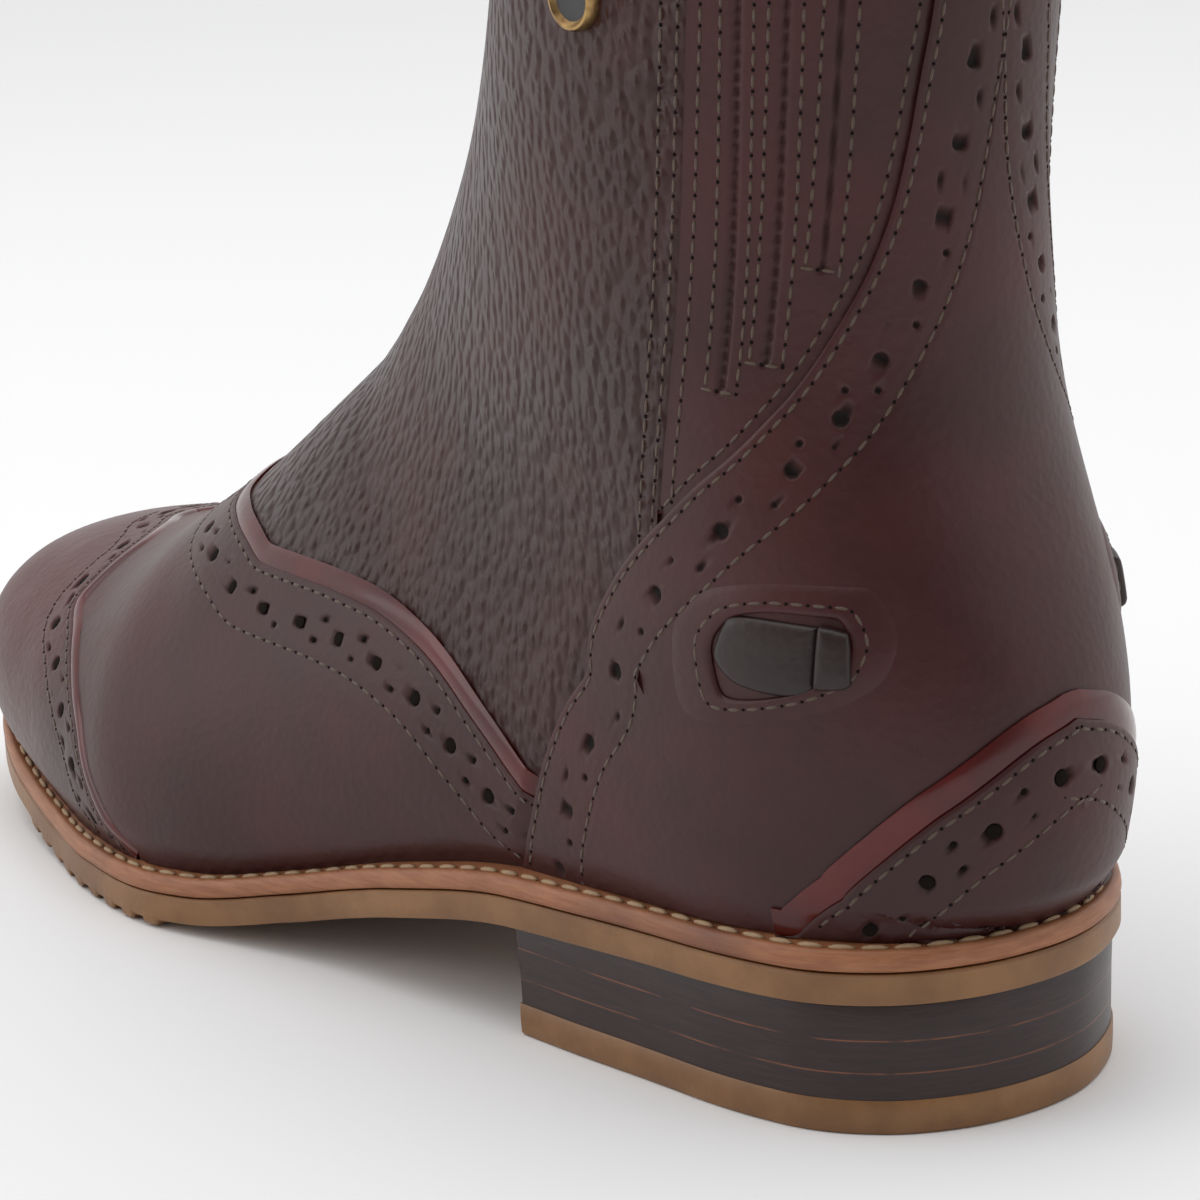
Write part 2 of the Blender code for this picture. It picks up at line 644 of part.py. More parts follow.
def make_insole(finish):
    inset = WELT_LAP + GAP
    ends = 0.0006
    x = spaced(inset + ends, LENGTH - inset - ends, 30)
    under = sole_bottom(x) + SOLE_THICKNESS + GAP
    return slab("insole", finish, x, inset, under, welt_top(x) + INSOLE_THICKNESS)


def make_heel(stack_finish, lift_finish):
    x = HEEL_SET_IN + (HEEL_LENGTH - HEEL_SET_IN) * (1 - np.cos(np.linspace(0.06, math.pi / 2, 18)))
    flat = np.zeros(len(x))
    lift_top = flat + TOP_LIFT_THICKNESS
    slab("top_lift", lift_finish, x, HEEL_SET_IN, flat, lift_top)
    slab("heel_stack", stack_finish, x, HEEL_SET_IN, lift_top + GAP, sole_bottom(x) - GAP)


def lay_over(name, finish, levels, share, gap, thickness):
    """A piece that lies over the foot from one side to the other, ending just above the welt."""
    around = share * hem(levels, FOREPART_HEM)
    shape = bmesh.new()
    add_grid(shape, upper_offset(levels, around, gap))
    give_wall(place(name, shape, finish), thickness, outwards=True)


def make_toe_cap(finish, piping_finish, seam):
    share = np.linspace(-1, 1, 23)
    seam_levels = level_on_seam(seam, share)
    start = 0.5
    reach = np.array([0.0, 0.07, 0.16, 0.28, 0.41, 0.53, 0.65, 0.77, 0.89, 1.0])[:, None]
    levels = start + (seam_levels[None, :] - start) * reach
    lay_over("toe_cap", finish, levels, np.broadcast_to(share, levels.shape), LAYER_GAP, OVERLAY)
    near = level_on_seam(seam, share, GAP)
    far = level_on_seam(seam, share, GAP + CAP_PIPING_WIDTH)
    levels = np.stack([near, (near + far) / 2, far])
    lay_over("toe_piping", piping_finish, levels, np.broadcast_to(share, levels.shape), LAYER_GAP, PIPING_THICKNESS)


def make_vamp(finish, piping_finish, cap_seam, seam):
    share = np.linspace(-1, 1, 31)
    start = level_on_seam(cap_seam, share, CAP_PIPING_WIDTH + 3 * GAP)
    end = level_on_seam(seam, share)
    levels = start[None, :] + (end - start)[None, :] * np.linspace(0, 1, 8)[:, None]
    lay_over("vamp", finish, levels, np.broadcast_to(share, levels.shape), LAYER_GAP, OVERLAY)
    share = np.linspace(-0.56, 0.56, 21)
    near = level_on_seam(seam, share, 4 * GAP)
    far = level_on_seam(seam, share, 4 * GAP + VAMP_PIPING_WIDTH)
    levels = np.stack([near, (near + far) / 2, far])
    lay_over("vamp_piping", piping_finish, levels, np.broadcast_to(share, levels.shape), LAYER_GAP, PIPING_THICKNESS)


def counter_levels():
    """The levels that the counter and the quarter's edge beside it share, so that their chords run side by side."""
    top = level_of_back(COUNTER_TOP)
    back = level_of_back((welt_top(WELT_SHOW) + SEAT_GAP + HEEL_HEM) / COLLAR_HEIGHT) + 0.02
    below = np.linspace(first_level(COUNTER_SEAM, top), CLOSING, 5)
    return np.concatenate([below, [(CLOSING + back) / 2], np.linspace(back, top - 0.12, 7)])


def make_quarter(finish):
    """The back quarter, from its perforated front edge to the counter's edge, round the back in one piece."""
    top = level_of_back(COUNTER_TOP)
    shared = counter_levels()
    first = first_level(QUARTER_SEAM)
    before = np.linspace(first, shared[0] - 0.4, 8)
    above = np.linspace(top + 0.03, COLLAR - 0.02, 8)
    levels = np.concatenate([before, shared, above])
    front = around_on_seam(QUARTER_SEAM, levels)
    beside = np.minimum(around_on_seam(COUNTER_SEAM, np.clip(levels, shared[0], top), top), 1.0)
    end = hem(levels, HEEL_HEM)
    has_counter = (levels > shared[0] - 0.001) & (levels < top)
    gap = COUNTER_EDGE_GAP * np.interp(levels, [shared[0], CLOSING + 1], [3.0, 1.0])
    end = np.where(has_counter, np.minimum(end, beside - gap), end)
    share = np.linspace(0, 1, 8)[None, :]
    around = front[:, None] + (end - front)[:, None] * share
    shape = bmesh.new()
    both_sides(shape, levels[:, None], around, LAYER_GAP + GAP / 2)
    give_wall(place("quarter", shape, finish), OVERLAY, outwards=True)


def make_counter(finish):
    """The heel counter, which stands one leather's thickness above the quarter."""
    levels = counter_levels()
    front = around_on_seam(COUNTER_SEAM, levels, level_of_back(COUNTER_TOP))
    end = hem(levels, HEEL_HEM)
    share = np.linspace(0, 1, 6)[None, :]
    around = front[:, None] + (end - front)[:, None] * share
    shape = bmesh.new()
    both_sides(shape, levels[:, None], around, LAYER_GAP)
    give_wall(place("counter", shape, finish), 2 * OVERLAY, outwards=True)


def make_gore(side, name, finish):
    clear = 0.012
    trial = np.linspace(17, 20, 200)
    wide = around_on_seam(QUARTER_SEAM, trial) - around_on_seam(PANEL_SEAM, trial) > 2 * clear + 0.03
    start = trial[int(np.argmax(wide))]
    levels = np.concatenate([[start], np.arange(start + 0.5, COLLAR - 0.3, 0.75), [COLLAR - 0.02]])
    front = around_on_seam(PANEL_SEAM, levels) + clear
    back = around_on_seam(QUARTER_SEAM, levels) - clear
    share = np.linspace(0, 1, 5)[None, :]
    around = (front[:, None] + (back - front)[:, None] * share) * side
    shape = bmesh.new()
    points = upper_offset(np.broadcast_to(levels[:, None], around.shape), around, LAYER_GAP)
    add_grid(shape, points, turned=side < 0)
    give_wall(place(name, shape, finish), GORE_THICKNESS, outwards=True)


SpurRest = namedtuple("SpurRest", "back front low high")
SPUR_PAD = SpurRest(0.0725, 0.128, 0.352, 0.408)
SPUR_KEEPER = SpurRest(0.0545, 0.0700, 0.362, 0.402)


def make_spur_piece(side, name, rest, thickness, finish):
    along = np.linspace(rest.back, rest.front, 5) * LENGTH
    up = np.linspace(rest.low, rest.high, 4) * COLLAR_HEIGHT
    grid = [on_side(along, np.full(len(along), height)) for height in up]
    levels = np.array([row[:, 0] for row in grid])
    around = np.array([row[:, 1] for row in grid]) * side
    shape = bmesh.new()
    add_grid(shape, upper_offset(levels, around, LAYER_GAP + OVERLAY + LAYER_GAP), turned=side > 0)
    made = place(name, shape, finish)
    give_wall(made, thickness, outwards=True)
    return made


BADGE_PLACE = Mark(0.209, 0.871)


def make_badge(finish):
    spot = on_side([BADGE_PLACE.along * LENGTH], [BADGE_PLACE.up * COLLAR_HEIGHT])
    foot = Vector(upper_offset(spot[:, 0], spot[:, 1], 0.0)[0])
    tip = Vector(upper_offset(spot[:, 0], spot[:, 1], GAP * 2 + BADGE_THICKNESS / 2)[0])
    shape = bmesh.new()
    bmesh.ops.create_cone(shape, cap_ends=True, segments=28, radius1=BADGE_DIAMETER / 2, radius2=BADGE_DIAMETER / 2,
                          depth=BADGE_THICKNESS)
    turn = (tip - foot).to_track_quat("Z", "Y").to_matrix().to_4x4()
    bmesh.ops.transform(shape, matrix=turn, verts=shape.verts)
    bmesh.ops.translate(shape, verts=shape.verts, vec=tip)
    return place("badge", shape, finish)


for leftover in list(bpy.data.objects):
    bpy.data.objects.remove(leftover)
boot = bpy.data.collections.new("paddock_boot")
bpy.context.scene.collection.children.link(boot)

leather = surface_finish("brown_leather", (0.045, 0.020, 0.016), 0.42)
patent = surface_finish("burgundy_patent", (0.10, 0.012, 0.008), 0.12)
welt_leather = surface_finish("tan_welt_leather", (0.32, 0.13, 0.055), 0.5)
gum = surface_finish("honey_gum", (0.26, 0.13, 0.055), 0.45)
stacked = surface_finish("dark_stacked_leather", (0.030, 0.014, 0.012), 0.4)
lining = surface_finish("tan_insole_leather", (0.36, 0.22, 0.12), 0.6)
pad_leather = surface_finish("black_brown_leather", (0.022, 0.014, 0.013), 0.38)
brass = surface_finish("antique_brass", (0.42, 0.28, 0.12), 0.35, 1.0)

make_upper(leather)
make_insole(lining)
make_welt(welt_leather)
make_outsole(gum)
make_heel(stacked, gum)
cap_line = cross_seam(CAP_SEAM, CAP_SEAM_FRONT)
vamp_line = cross_seam(VAMP_SEAM, VAMP_SEAM_FRONT)
make_toe_cap(leather, patent, cap_line)
make_vamp(leather, patent, cap_line, vamp_line)
make_quarter(leather)
make_counter(leather)
for side, side_name in ((1, "outer"), (-1, "inner")):
    make_gore(side, f"gore_{side_name}", leather)
    make_spur_piece(side, f"spur_pad_{side_name}", SPUR_PAD, SPUR_PAD_THICKNESS, pad_leather)
    make_spur_piece(side, f"spur_keeper_{side_name}", SPUR_KEEPER, SPUR_KEEPER_THICKNESS, pad_leather)
make_badge(brass)
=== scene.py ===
import json
import math
from collections import namedtuple

import bmesh
import bpy
import numpy as np
from mathutils import Matrix, Vector

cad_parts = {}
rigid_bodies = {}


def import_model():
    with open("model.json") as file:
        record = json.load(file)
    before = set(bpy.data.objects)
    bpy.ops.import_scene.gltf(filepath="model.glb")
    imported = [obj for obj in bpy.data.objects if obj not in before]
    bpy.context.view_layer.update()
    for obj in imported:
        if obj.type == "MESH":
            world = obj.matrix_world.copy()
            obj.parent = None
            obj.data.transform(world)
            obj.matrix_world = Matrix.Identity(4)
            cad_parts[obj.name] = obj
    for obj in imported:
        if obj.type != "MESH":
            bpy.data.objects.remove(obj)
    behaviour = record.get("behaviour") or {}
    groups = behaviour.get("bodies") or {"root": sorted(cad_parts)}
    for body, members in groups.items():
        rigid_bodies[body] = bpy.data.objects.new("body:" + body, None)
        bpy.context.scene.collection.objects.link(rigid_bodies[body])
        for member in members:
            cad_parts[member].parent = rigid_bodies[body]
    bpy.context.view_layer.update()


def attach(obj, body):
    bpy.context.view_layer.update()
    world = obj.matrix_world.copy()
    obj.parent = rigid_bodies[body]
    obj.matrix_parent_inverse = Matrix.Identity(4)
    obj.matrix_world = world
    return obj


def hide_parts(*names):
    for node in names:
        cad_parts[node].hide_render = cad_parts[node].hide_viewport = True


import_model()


# The photographer's camera: a long lens behind the heel on the outer side, a little above the ankle,
# looking down at the toe. Its place and turns were worked out from the sole's and heel's outlines.
LENS_PIXELS = 3530.4
PICTURE_PIXELS = 1200
SENSOR = 36.0
CAMERA_PLACE = (-0.3578, 0.3498, 0.2043)
CAMERA_TURNS = (-40.017, 15.087, 2.331)
look_turn, look_down, look_roll = (math.radians(turn) for turn in CAMERA_TURNS)
ahead = Vector((math.cos(look_turn) * math.cos(look_down), math.sin(look_turn) * math.cos(look_down),
                -math.sin(look_down)))
level_right = Vector((math.sin(look_turn), -math.cos(look_turn), 0))
level_down = ahead.cross(level_right)
right = level_right * math.cos(look_roll) + level_down * math.sin(look_roll)
down = level_down * math.cos(look_roll) - level_right * math.sin(look_roll)
lens = bpy.data.cameras.new("camera")
lens.sensor_width = SENSOR
lens.lens = LENS_PIXELS / PICTURE_PIXELS * SENSOR
lens.clip_start = 0.02
camera = bpy.data.objects.new("camera", lens)
camera.matrix_world = Matrix.Translation(CAMERA_PLACE) @ Matrix((right, -down,
                                                                 -ahead)).transposed().to_4x4()
bpy.context.scene.collection.objects.link(camera)
bpy.context.scene.camera = camera


def in_picture(thing):
    """Links a new object to the scene's own collection."""
    bpy.context.scene.collection.objects.link(thing)
    return thing


# The studio: a wide pale sheet that serves as floor and backdrop, lit by a large soft box overhead, a
# weaker one from behind the camera's left, and a pale surround that is darker behind the camera.
SHEET_TONE = 0.92
DARK_WAY = (-0.68, 0.66, 0.32)
FADE = (("From Min", 0.25), ("From Max", 0.95), ("To Min", 1.05), ("To Max", 0.2))


class Look:
    """A material with its shader, and short ways to add, set and link its nodes."""

    def __init__(self, name):
        self.material = bpy.data.materials.new(name)
        self.material.use_nodes = True
        self.tree = self.material.node_tree
        self.shader = self.tree.nodes["Principled BSDF"]
        self.here = self.node("ShaderNodeTexCoord").outputs["Object"]

    def node(self, kind, links=(), **values):
        """A new node with its settings, the values of its inputs and its links."""
        made = self.tree.nodes.new(kind)
        for key, value in values.items():
            if hasattr(made, key):
                setattr(made, key, value)
            else:
                made.inputs[key.replace("_", " ")].default_value = value
        for socket, source in dict(links).items():
            self.tree.links.new(source, made.inputs[socket])
        return made

    def noise(self, scale, detail, rough=0.5, vector=None, **more):
        links = {"Vector": self.here if vector is None else vector}
        made = self.node("ShaderNodeTexNoise", links, Scale=scale, Detail=detail, Roughness=rough, **more)
        return made.outputs["Fac"]

    def stretched(self, upwards, **more):
        """The object's own coordinates, multiplied upwards."""
        return self.node("ShaderNodeMapping", {"Vector": self.here}, Scale=(1.0, 1.0, upwards),
                         **more).outputs["Vector"]

    def reckon(self, operation, first, second=None):
        """A sum of a socket and of a number or another socket."""
        made = self.node("ShaderNodeMath", {0: first}, operation=operation)
        if isinstance(second, float):
            made.inputs[1].default_value = second
        elif second is not None:
            self.tree.links.new(second, made.inputs[1])
        return made.outputs[0]

    def ramp(self, source, low, high):
        """A smooth step of a socket between two values."""
        return self.node("ShaderNodeMapRange", {"Value": source}, interpolation_type="SMOOTHSTEP",
                         From_Min=low, From_Max=high).outputs["Result"]

    def blend(self, factor, first, second):
        """A mix of two colours, either of which may be a socket."""
        mix = self.node("ShaderNodeMix", {"Factor": factor}, data_type="RGBA")
        for index, colour in ((6, first), (7, second)):
            if isinstance(colour, tuple):
                mix.inputs[index].default_value = colour + (1,)
            else:
                self.tree.links.new(colour, mix.inputs[index])
        return mix.outputs[2]

    def bump(self, height, strength, distance, under=None, **more):
        """A raised surface, over another one where it is given."""
        links = {"Height": height} if under is None else {"Height": height, "Normal": under}
        return self.node("ShaderNodeBump", links, Strength=strength, Distance=distance,
                         **more).outputs["Normal"]

    def finish(self, colour=None, normal=None, **values):
        """Links the shader's colour and surface and sets its own inputs."""
        for socket, source in (("Base Color", colour), ("Normal", normal)):
            if source is not None:
                self.tree.links.new(source, self.shader.inputs[socket])
        for key, value in values.items():
            self.shader.inputs[key.replace("_", " ")].default_value = value
        return self.material


sheet_shape = bmesh.new()
bmesh.ops.create_grid(sheet_shape, x_segments=1, y_segments=1, size=6.0)
sheet_mesh = bpy.data.meshes.new("studio_floor")
sheet_shape.to_mesh(sheet_mesh)
sheet_shape.free()
studio_floor = in_picture(bpy.data.objects.new("studio_floor", sheet_mesh))
sheet_paint = Look("studio_sheet")
sheet_paint.finish(Base_Color=(SHEET_TONE, SHEET_TONE, SHEET_TONE, 1), Roughness=0.9,
                   Specular_IOR_Level=0.1)
sheet_mesh.materials.append(sheet_paint.material)

bpy.context.scene.view_settings.view_transform = "Standard"
surround = bpy.data.worlds.new("surround")
surround.use_nodes = True
sky = surround.node_tree
direction = sky.nodes.new("ShaderNodeTexCoord")
toward_dark = sky.nodes.new("ShaderNodeVectorMath")
toward_dark.operation = "DOT_PRODUCT"
toward_dark.inputs[1].default_value = DARK_WAY
fade = sky.nodes.new("ShaderNodeMapRange")
fade.interpolation_type = "SMOOTHSTEP"
for socket, value in FADE:
    fade.inputs[socket].default_value = value
sky.links.new(direction.outputs["Generated"], toward_dark.inputs[0])
sky.links.new(toward_dark.outputs["Value"], fade.inputs["Value"])
sky.links.new(fade.outputs["Result"], sky.nodes["Background"].inputs["Strength"])
sky.nodes["Background"].inputs["Color"].default_value = (0.99, 0.99, 1.0, 1)
bpy.context.scene.world = surround


def soft_box(name, place, aim, size, power):
    """A square area light that faces a point."""
    light = bpy.data.lights.new(name, "AREA")
    light.shape = "SQUARE"
    light.size = size
    light.energy = power
    box = in_picture(bpy.data.objects.new(name, light))
    away = (Vector(place) - Vector(aim)).normalized()
    box.matrix_world = Matrix.Translation(place) @ away.to_track_quat("Z", "Y").to_matrix().to_4x4()
    return box


soft_box("overhead_box", (0.1, 0.2, 1.5), (0.05, 0.0, 0.05), 1.3, 6.5)
soft_box("left_box", (0.9, 1.3, 0.7), (0.06, 0.0, 0.06), 0.9, 3.5)


# The outsole: one gum rubber layer cut to the welt's outline and stitched under it, arched at the waist,
# with cross ribs under the ball. Its edge is trimmed and its corners are lightly rounded.
LENGTH = 0.262
BALL_WIDTH = 0.0965
HEEL_WIDTH = 0.0745
COLLAR_HEIGHT = 0.182
COLLAR_WIDTH = 0.072
TOE_SPRING = 0.016
HEEL_SEAT_HEIGHT = 0.0200
SOLE_THICKNESS = 0.0048
WELT_THICKNESS = 0.0032
LAYER_CLEARANCE = 0.0003
RIB_HEIGHT = 0.0010
RIB_WIDTH = 0.0036
RIB_PITCH = 0.0066
RIB_COUNT = 9
RIB_START = 0.158
RIB_ROUND = 0.0004
HEEL_LENGTH = 0.078
HEEL_SET_IN = 0.0012
HEEL_MIDDLE = (HEEL_SET_IN + HEEL_LENGTH) / 2

# The sole seen from above: half its width and the place of its middle line, as shares of the named width
Plan = namedtuple("Plan", "along half of middle")
SOLE_PLAN = (
    Plan(0.000, 0.000, HEEL_WIDTH, 0.000),
    Plan(0.010, 0.178, HEEL_WIDTH, 0.010),
    Plan(0.040, 0.338, HEEL_WIDTH, 0.012),
    Plan(0.090, 0.449, HEEL_WIDTH, 0.002),
    Plan(0.160, 0.495, HEEL_WIDTH, -0.009),
    Plan(0.240, 0.500, HEEL_WIDTH, 0.003),
    Plan(0.340, 0.465, HEEL_WIDTH, 0.056),
    Plan(0.440, 0.361, BALL_WIDTH, 0.062),
    Plan(0.540, 0.411, BALL_WIDTH, 0.062),
    Plan(0.620, 0.477, BALL_WIDTH, 0.044),
    Plan(0.700, 0.500, BALL_WIDTH, -0.004),
    Plan(0.770, 0.476, BALL_WIDTH, -0.034),
    Plan(0.840, 0.432, BALL_WIDTH, -0.046),
    Plan(0.900, 0.364, BALL_WIDTH, -0.046),
    Plan(0.950, 0.264, BALL_WIDTH, -0.046),
    Plan(0.985, 0.142, BALL_WIDTH, -0.041),
    Plan(1.000, 0.000, BALL_WIDTH, -0.037),
)

# The underside of the sole seen from the side: its height as shares of the heel seat's height or of the toe
# spring
Rise = namedtuple("Rise", "along up of")
SOLE_RISE = (
    Rise(0.00, 1.000, HEEL_SEAT_HEIGHT),
    Rise(0.15, 0.960, HEEL_SEAT_HEIGHT),
    Rise(0.30, 0.870, HEEL_SEAT_HEIGHT),
    Rise(0.40, 0.640, HEEL_SEAT_HEIGHT),
    Rise(0.50, 0.300, HEEL_SEAT_HEIGHT),
    Rise(0.58, 0.090, HEEL_SEAT_HEIGHT),
    Rise(0.66, 1.000, RIB_HEIGHT),
    Rise(0.73, 1.000, RIB_HEIGHT),
    Rise(0.80, 0.170, TOE_SPRING),
    Rise(0.90, 0.500, TOE_SPRING),
    Rise(1.00, 1.000, TOE_SPRING),
)


def smooth(at, knots, values):
    """A smooth curve through the knots that never swings past them."""
    knots = np.asarray(knots, float)
    values = np.asarray(values, float)
    step = np.diff(knots)
    slope = np.diff(values) / step
    lean = np.zeros(len(knots))
    same = slope[:-1] * slope[1:] > 0
    weight_a = 2 * step[1:] + step[:-1]
    weight_b = step[1:] + 2 * step[:-1]
    safe = np.where(same, slope[:-1], 1.0), np.where(same, slope[1:], 1.0)
    lean[1:-1] = np.where(same, (weight_a + weight_b) / (weight_a / safe[0] + weight_b / safe[1]), 0.0)
    lean[0] = slope[0]
    lean[-1] = slope[-1]
    at = np.clip(at, knots[0], knots[-1])
    cell = np.clip(np.searchsorted(knots, at, side="right") - 1, 0, len(step) - 1)
    t = (at - knots[cell]) / step[cell]
    a = values[cell]
    b = values[cell + 1]
    da = lean[cell] * step[cell]
    db = lean[cell + 1] * step[cell]
    return a + t * (da + t * (3 * (b - a) - 2 * da - db + t * (2 * (a - b) + da + db)))


def sole_half(along):
    """Half the welt's width at a share of the length, rounded off at heel and toe as an ellipse is."""
    turn = np.arccos(1 - 2 * np.clip(along, 0, 1))
    knots = np.arccos(1 - 2 * np.array([row.along for row in SOLE_PLAN]))
    return smooth(turn, knots, [row.half * row.of for row in SOLE_PLAN])


def sole_middle(along):
    return smooth(along, [row.along for row in SOLE_PLAN], [row.middle * row.of for row in SOLE_PLAN])


def sole_bottom(x):
    """The height of the outsole's underside at a distance from the back of the welt."""
    return smooth(np.asarray(x, float) / LENGTH, [row.along for row in SOLE_RISE],
                  [row.up * row.of for row in SOLE_RISE])


def welt_top(x):
    return sole_bottom(x) + SOLE_THICKNESS + LAYER_CLEARANCE + WELT_THICKNESS


def run_along(points):
    """The length of a line up to each of its points."""
    return np.concatenate([[0], np.cumsum(np.linalg.norm(np.diff(points, axis=0), axis=1))])


def spaced(at, run, line):
    """The places of a line at given lengths along it."""
    return np.stack([np.interp(at, run, column) for column in line.T], 1)


def drawn_round(loop, count):
    """A closed loop, spaced evenly over its length."""
    closed = np.append(loop, loop[:1], 0)
    run = run_along(closed)
    return spaced(np.linspace(0, run[-1], count + 1)[:-1], run, closed)


def plan_loop(inset, count):
    """The welt's outline seen from above, drawn in by the inset, as a loop that starts at the heel's
    back."""
    turn = np.linspace(0, 2 * math.pi, 721)[:-1]
    along = (1 - np.cos(turn)) / 2
    side = np.where(turn < math.pi, 1.0, -1.0)
    loop = np.stack([along * LENGTH, sole_middle(along) + side * sole_half(along)], 1)
    chord = np.roll(loop, -3, axis=0) - np.roll(loop, 3, axis=0)
    square = chord[:, ::-1] * [1, -1] / np.linalg.norm(chord, axis=1, keepdims=True)
    return drawn_round(loop + inset * square, count).T


def rib_depth(x):
    """How far the tread stands below the sole at a distance from the heel's back."""
    along = np.asarray(x) - RIB_START
    spot = along % RIB_PITCH
    rounded = np.clip(np.minimum(spot, RIB_WIDTH - spot) / RIB_ROUND, 0, 1)
    return RIB_HEIGHT * rounded * ((along > 0) & (along < RIB_COUNT * RIB_PITCH))


def finish_piece(name, shape, materials, nodes, sharp=40):
    """Moves a finished mesh from the heel's back to the origin under the heel, and hands it to the
    frame."""
    bmesh.ops.translate(shape, verts=shape.verts, vec=(-HEEL_MIDDLE, 0, 0))
    for face in shape.faces:
        face.smooth = True
    for edge in shape.edges:
        if len(edge.link_faces) != 2 or edge.calc_face_angle(0) > math.radians(sharp):
            edge.smooth = False
    mesh = bpy.data.meshes.new(name)
    shape.to_mesh(mesh)
    shape.free()
    piece = in_picture(bpy.data.objects.new(name, mesh))
    for material in materials:
        mesh.materials.append(material)
    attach(piece, "root")
    if nodes:
        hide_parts(*nodes)
    return piece


def lofted(name, rings, material, node, sharp=40):
    """A closed piece from a ring of points per profile step, on a grid that is wrapped round and joined."""
    shape = bmesh.new()
    rings = np.array(rings)
    steps, count = rings.shape[:2]
    made = bmesh.ops.create_grid(shape, x_segments=count, y_segments=steps - 1, size=1.0)["verts"]
    for vertex in made:
        column = round((vertex.co.x + 1) / 2 * count) % count
        vertex.co = rings[round((vertex.co.y + 1) / 2 * (steps - 1)), column]
    bmesh.ops.remove_doubles(shape, verts=shape.verts, dist=1e-6)
    bmesh.ops.recalc_face_normals(shape, faces=shape.faces)
    finish_piece(name, shape, [material], [node], sharp)


def sole_rings(profile, low, high, count):
    """Rings round the sole for a table of insets and shares of the height, then in to its middle line."""
    rings = []
    for inset, share in profile:
        x, y = plan_loop(inset, count)
        rings.append(np.stack([x, y, low(x) + (high(x) - low(x)) * share], 1))
    return rings


def filled_in(ring, height, shares):
    """Rings from an edge in to the middle line, at the given shares of the half width."""
    middle = sole_middle(ring[:, 0] / LENGTH)
    rings = []
    for share in shares:
        rings.append(np.stack([ring[:, 0], middle + (ring[:, 1] - middle) * share, height(ring[:, 0])], 1))
    return rings


def tread(x):
    return sole_bottom(x) - rib_depth(x)


def outsole_top(x):
    return sole_bottom(x) + SOLE_THICKNESS


OUTSOLE_PROFILE = ((0.0024, 1.0), (0.0004, 1.0), (0.0000, 0.92), (0.0000, 0.5), (0.0000, 0.16),
                   (0.0003, 0.04), (0.0009, 0.0))
outsole_rings = sole_rings(OUTSOLE_PROFILE, tread, outsole_top, 1300)
outsole_rings += filled_in(outsole_rings[-1], tread, (0.9, 0.7, 0.45, 0.2, 0.0))
outsole_rings = filled_in(outsole_rings[0], outsole_top, (0.0, 0.5)) + outsole_rings


gum = Look("gum_rubber")
cloud, speck = gum.noise(55.0, 6.0, 0.6), gum.noise(900.0, 3.0, 0.7)
honey = gum.blend(gum.ramp(cloud, 0.35, 0.68), (0.19, 0.085, 0.028), (0.28, 0.135, 0.048))
gum.finish(gum.blend(gum.ramp(speck, 0.66, 0.8), honey, (0.12, 0.065, 0.03)), gum.bump(speck, 0.5, 0.00015),
           Roughness=0.42, Subsurface_Weight=0.15, Subsurface_Radius=(0.0015, 0.0008, 0.0003))
lofted("gum_outsole", outsole_rings, gum.material, "outsole")


# The welt: a strip of tan leather sewn to the upper and stitched down to the outsole. Its top shows round
# the whole boot, its edge is trimmed, waxed darker in places and a little rounded.
WELT_LAP = 0.0075
WELT_STITCH_IN = 0.0020


def welt_under(x):
    return sole_bottom(x) + SOLE_THICKNESS + LAYER_CLEARANCE * 0.3


WELT_PROFILE = ((WELT_LAP, 0.02), (0.0008, 0.02), (0.0001, 0.10), (-0.0001, 0.35), (0.0000, 0.62),
                (0.0002, 0.86), (0.0006, 0.97), (0.0011, 1.0), (0.0015, 0.97), (0.0020, 0.92),
                (0.0026, 0.98), (0.0034, 1.08), (0.0044, 1.16), (WELT_LAP, 1.16))
welt_rings = sole_rings(WELT_PROFILE, welt_under, welt_top, 520)
welt_rings.append(welt_rings[0])
tan = Look("welt_tan")
layers, patches = tan.noise(160.0, 6.0, 0.65, tan.stretched(9.0)), tan.noise(24.0, 4.0)
warm = tan.blend(tan.ramp(layers, 0.3, 0.7), (0.27, 0.095, 0.038), (0.38, 0.155, 0.068))
tan.finish(tan.blend(tan.ramp(patches, 0.52, 0.72), warm, (0.17, 0.060, 0.030)),
           tan.bump(layers, 0.6, 0.0002), Roughness=0.46)
lofted("tan_welt", welt_rings, tan.material, "welt", 60)


# The heel: stacked leather lifts, stained nearly black and waxed, with thin tan lines where the lifts meet,
# and a gum top lift on the floor. Its front, the breast, is slightly hollow.
TOP_LIFT_THICKNESS = 0.0052
BREAST_HOLLOW = 0.0016


def heel_outline(inset, count=360):
    """The heel's outline seen from above: the sole's edge round the back, and the hollow breast across the
    front."""
    x, y = plan_loop(HEEL_SET_IN + inset, 1400)
    around = np.roll(np.stack([x, y], 1), 700, axis=0)
    inside = around[:, 0] < HEEL_LENGTH - inset
    back = around[inside]
    left, right_end = back[-1], back[0]
    share = np.linspace(0, 1, 60)[1:-1, None]
    breast = left + (right_end - left) * share
    breast[:, 0] -= BREAST_HOLLOW * 4 * (share * (1 - share))[:, 0]
    return drawn_round(np.concatenate([back, breast]), count)


def heel_block(profile, low, high):
    """Rings of the heel for a table of insets and shares of the height, closed over at both ends."""
    rings = []
    for inset, share in profile:
        outline = heel_outline(inset)
        height = low(outline[:, 0]) + (high(outline[:, 0]) - low(outline[:, 0])) * share
        rings.append(np.append(outline, height[:, None], 1))
    middle = rings[0][:, :2].mean(0)
    ends = []
    for ring in (rings[0], rings[-1]):
        end = ring.copy()
        end[:, :2] = middle
        ends.append(end * [1, 1, 0] + [0, 0, ring[:, 2].mean()])
    return np.array([ends[0]] + rings + [ends[1]])


def flat_on_floor(x):
    return np.zeros_like(x)


def lift_top(x):
    return np.full_like(x, TOP_LIFT_THICKNESS)


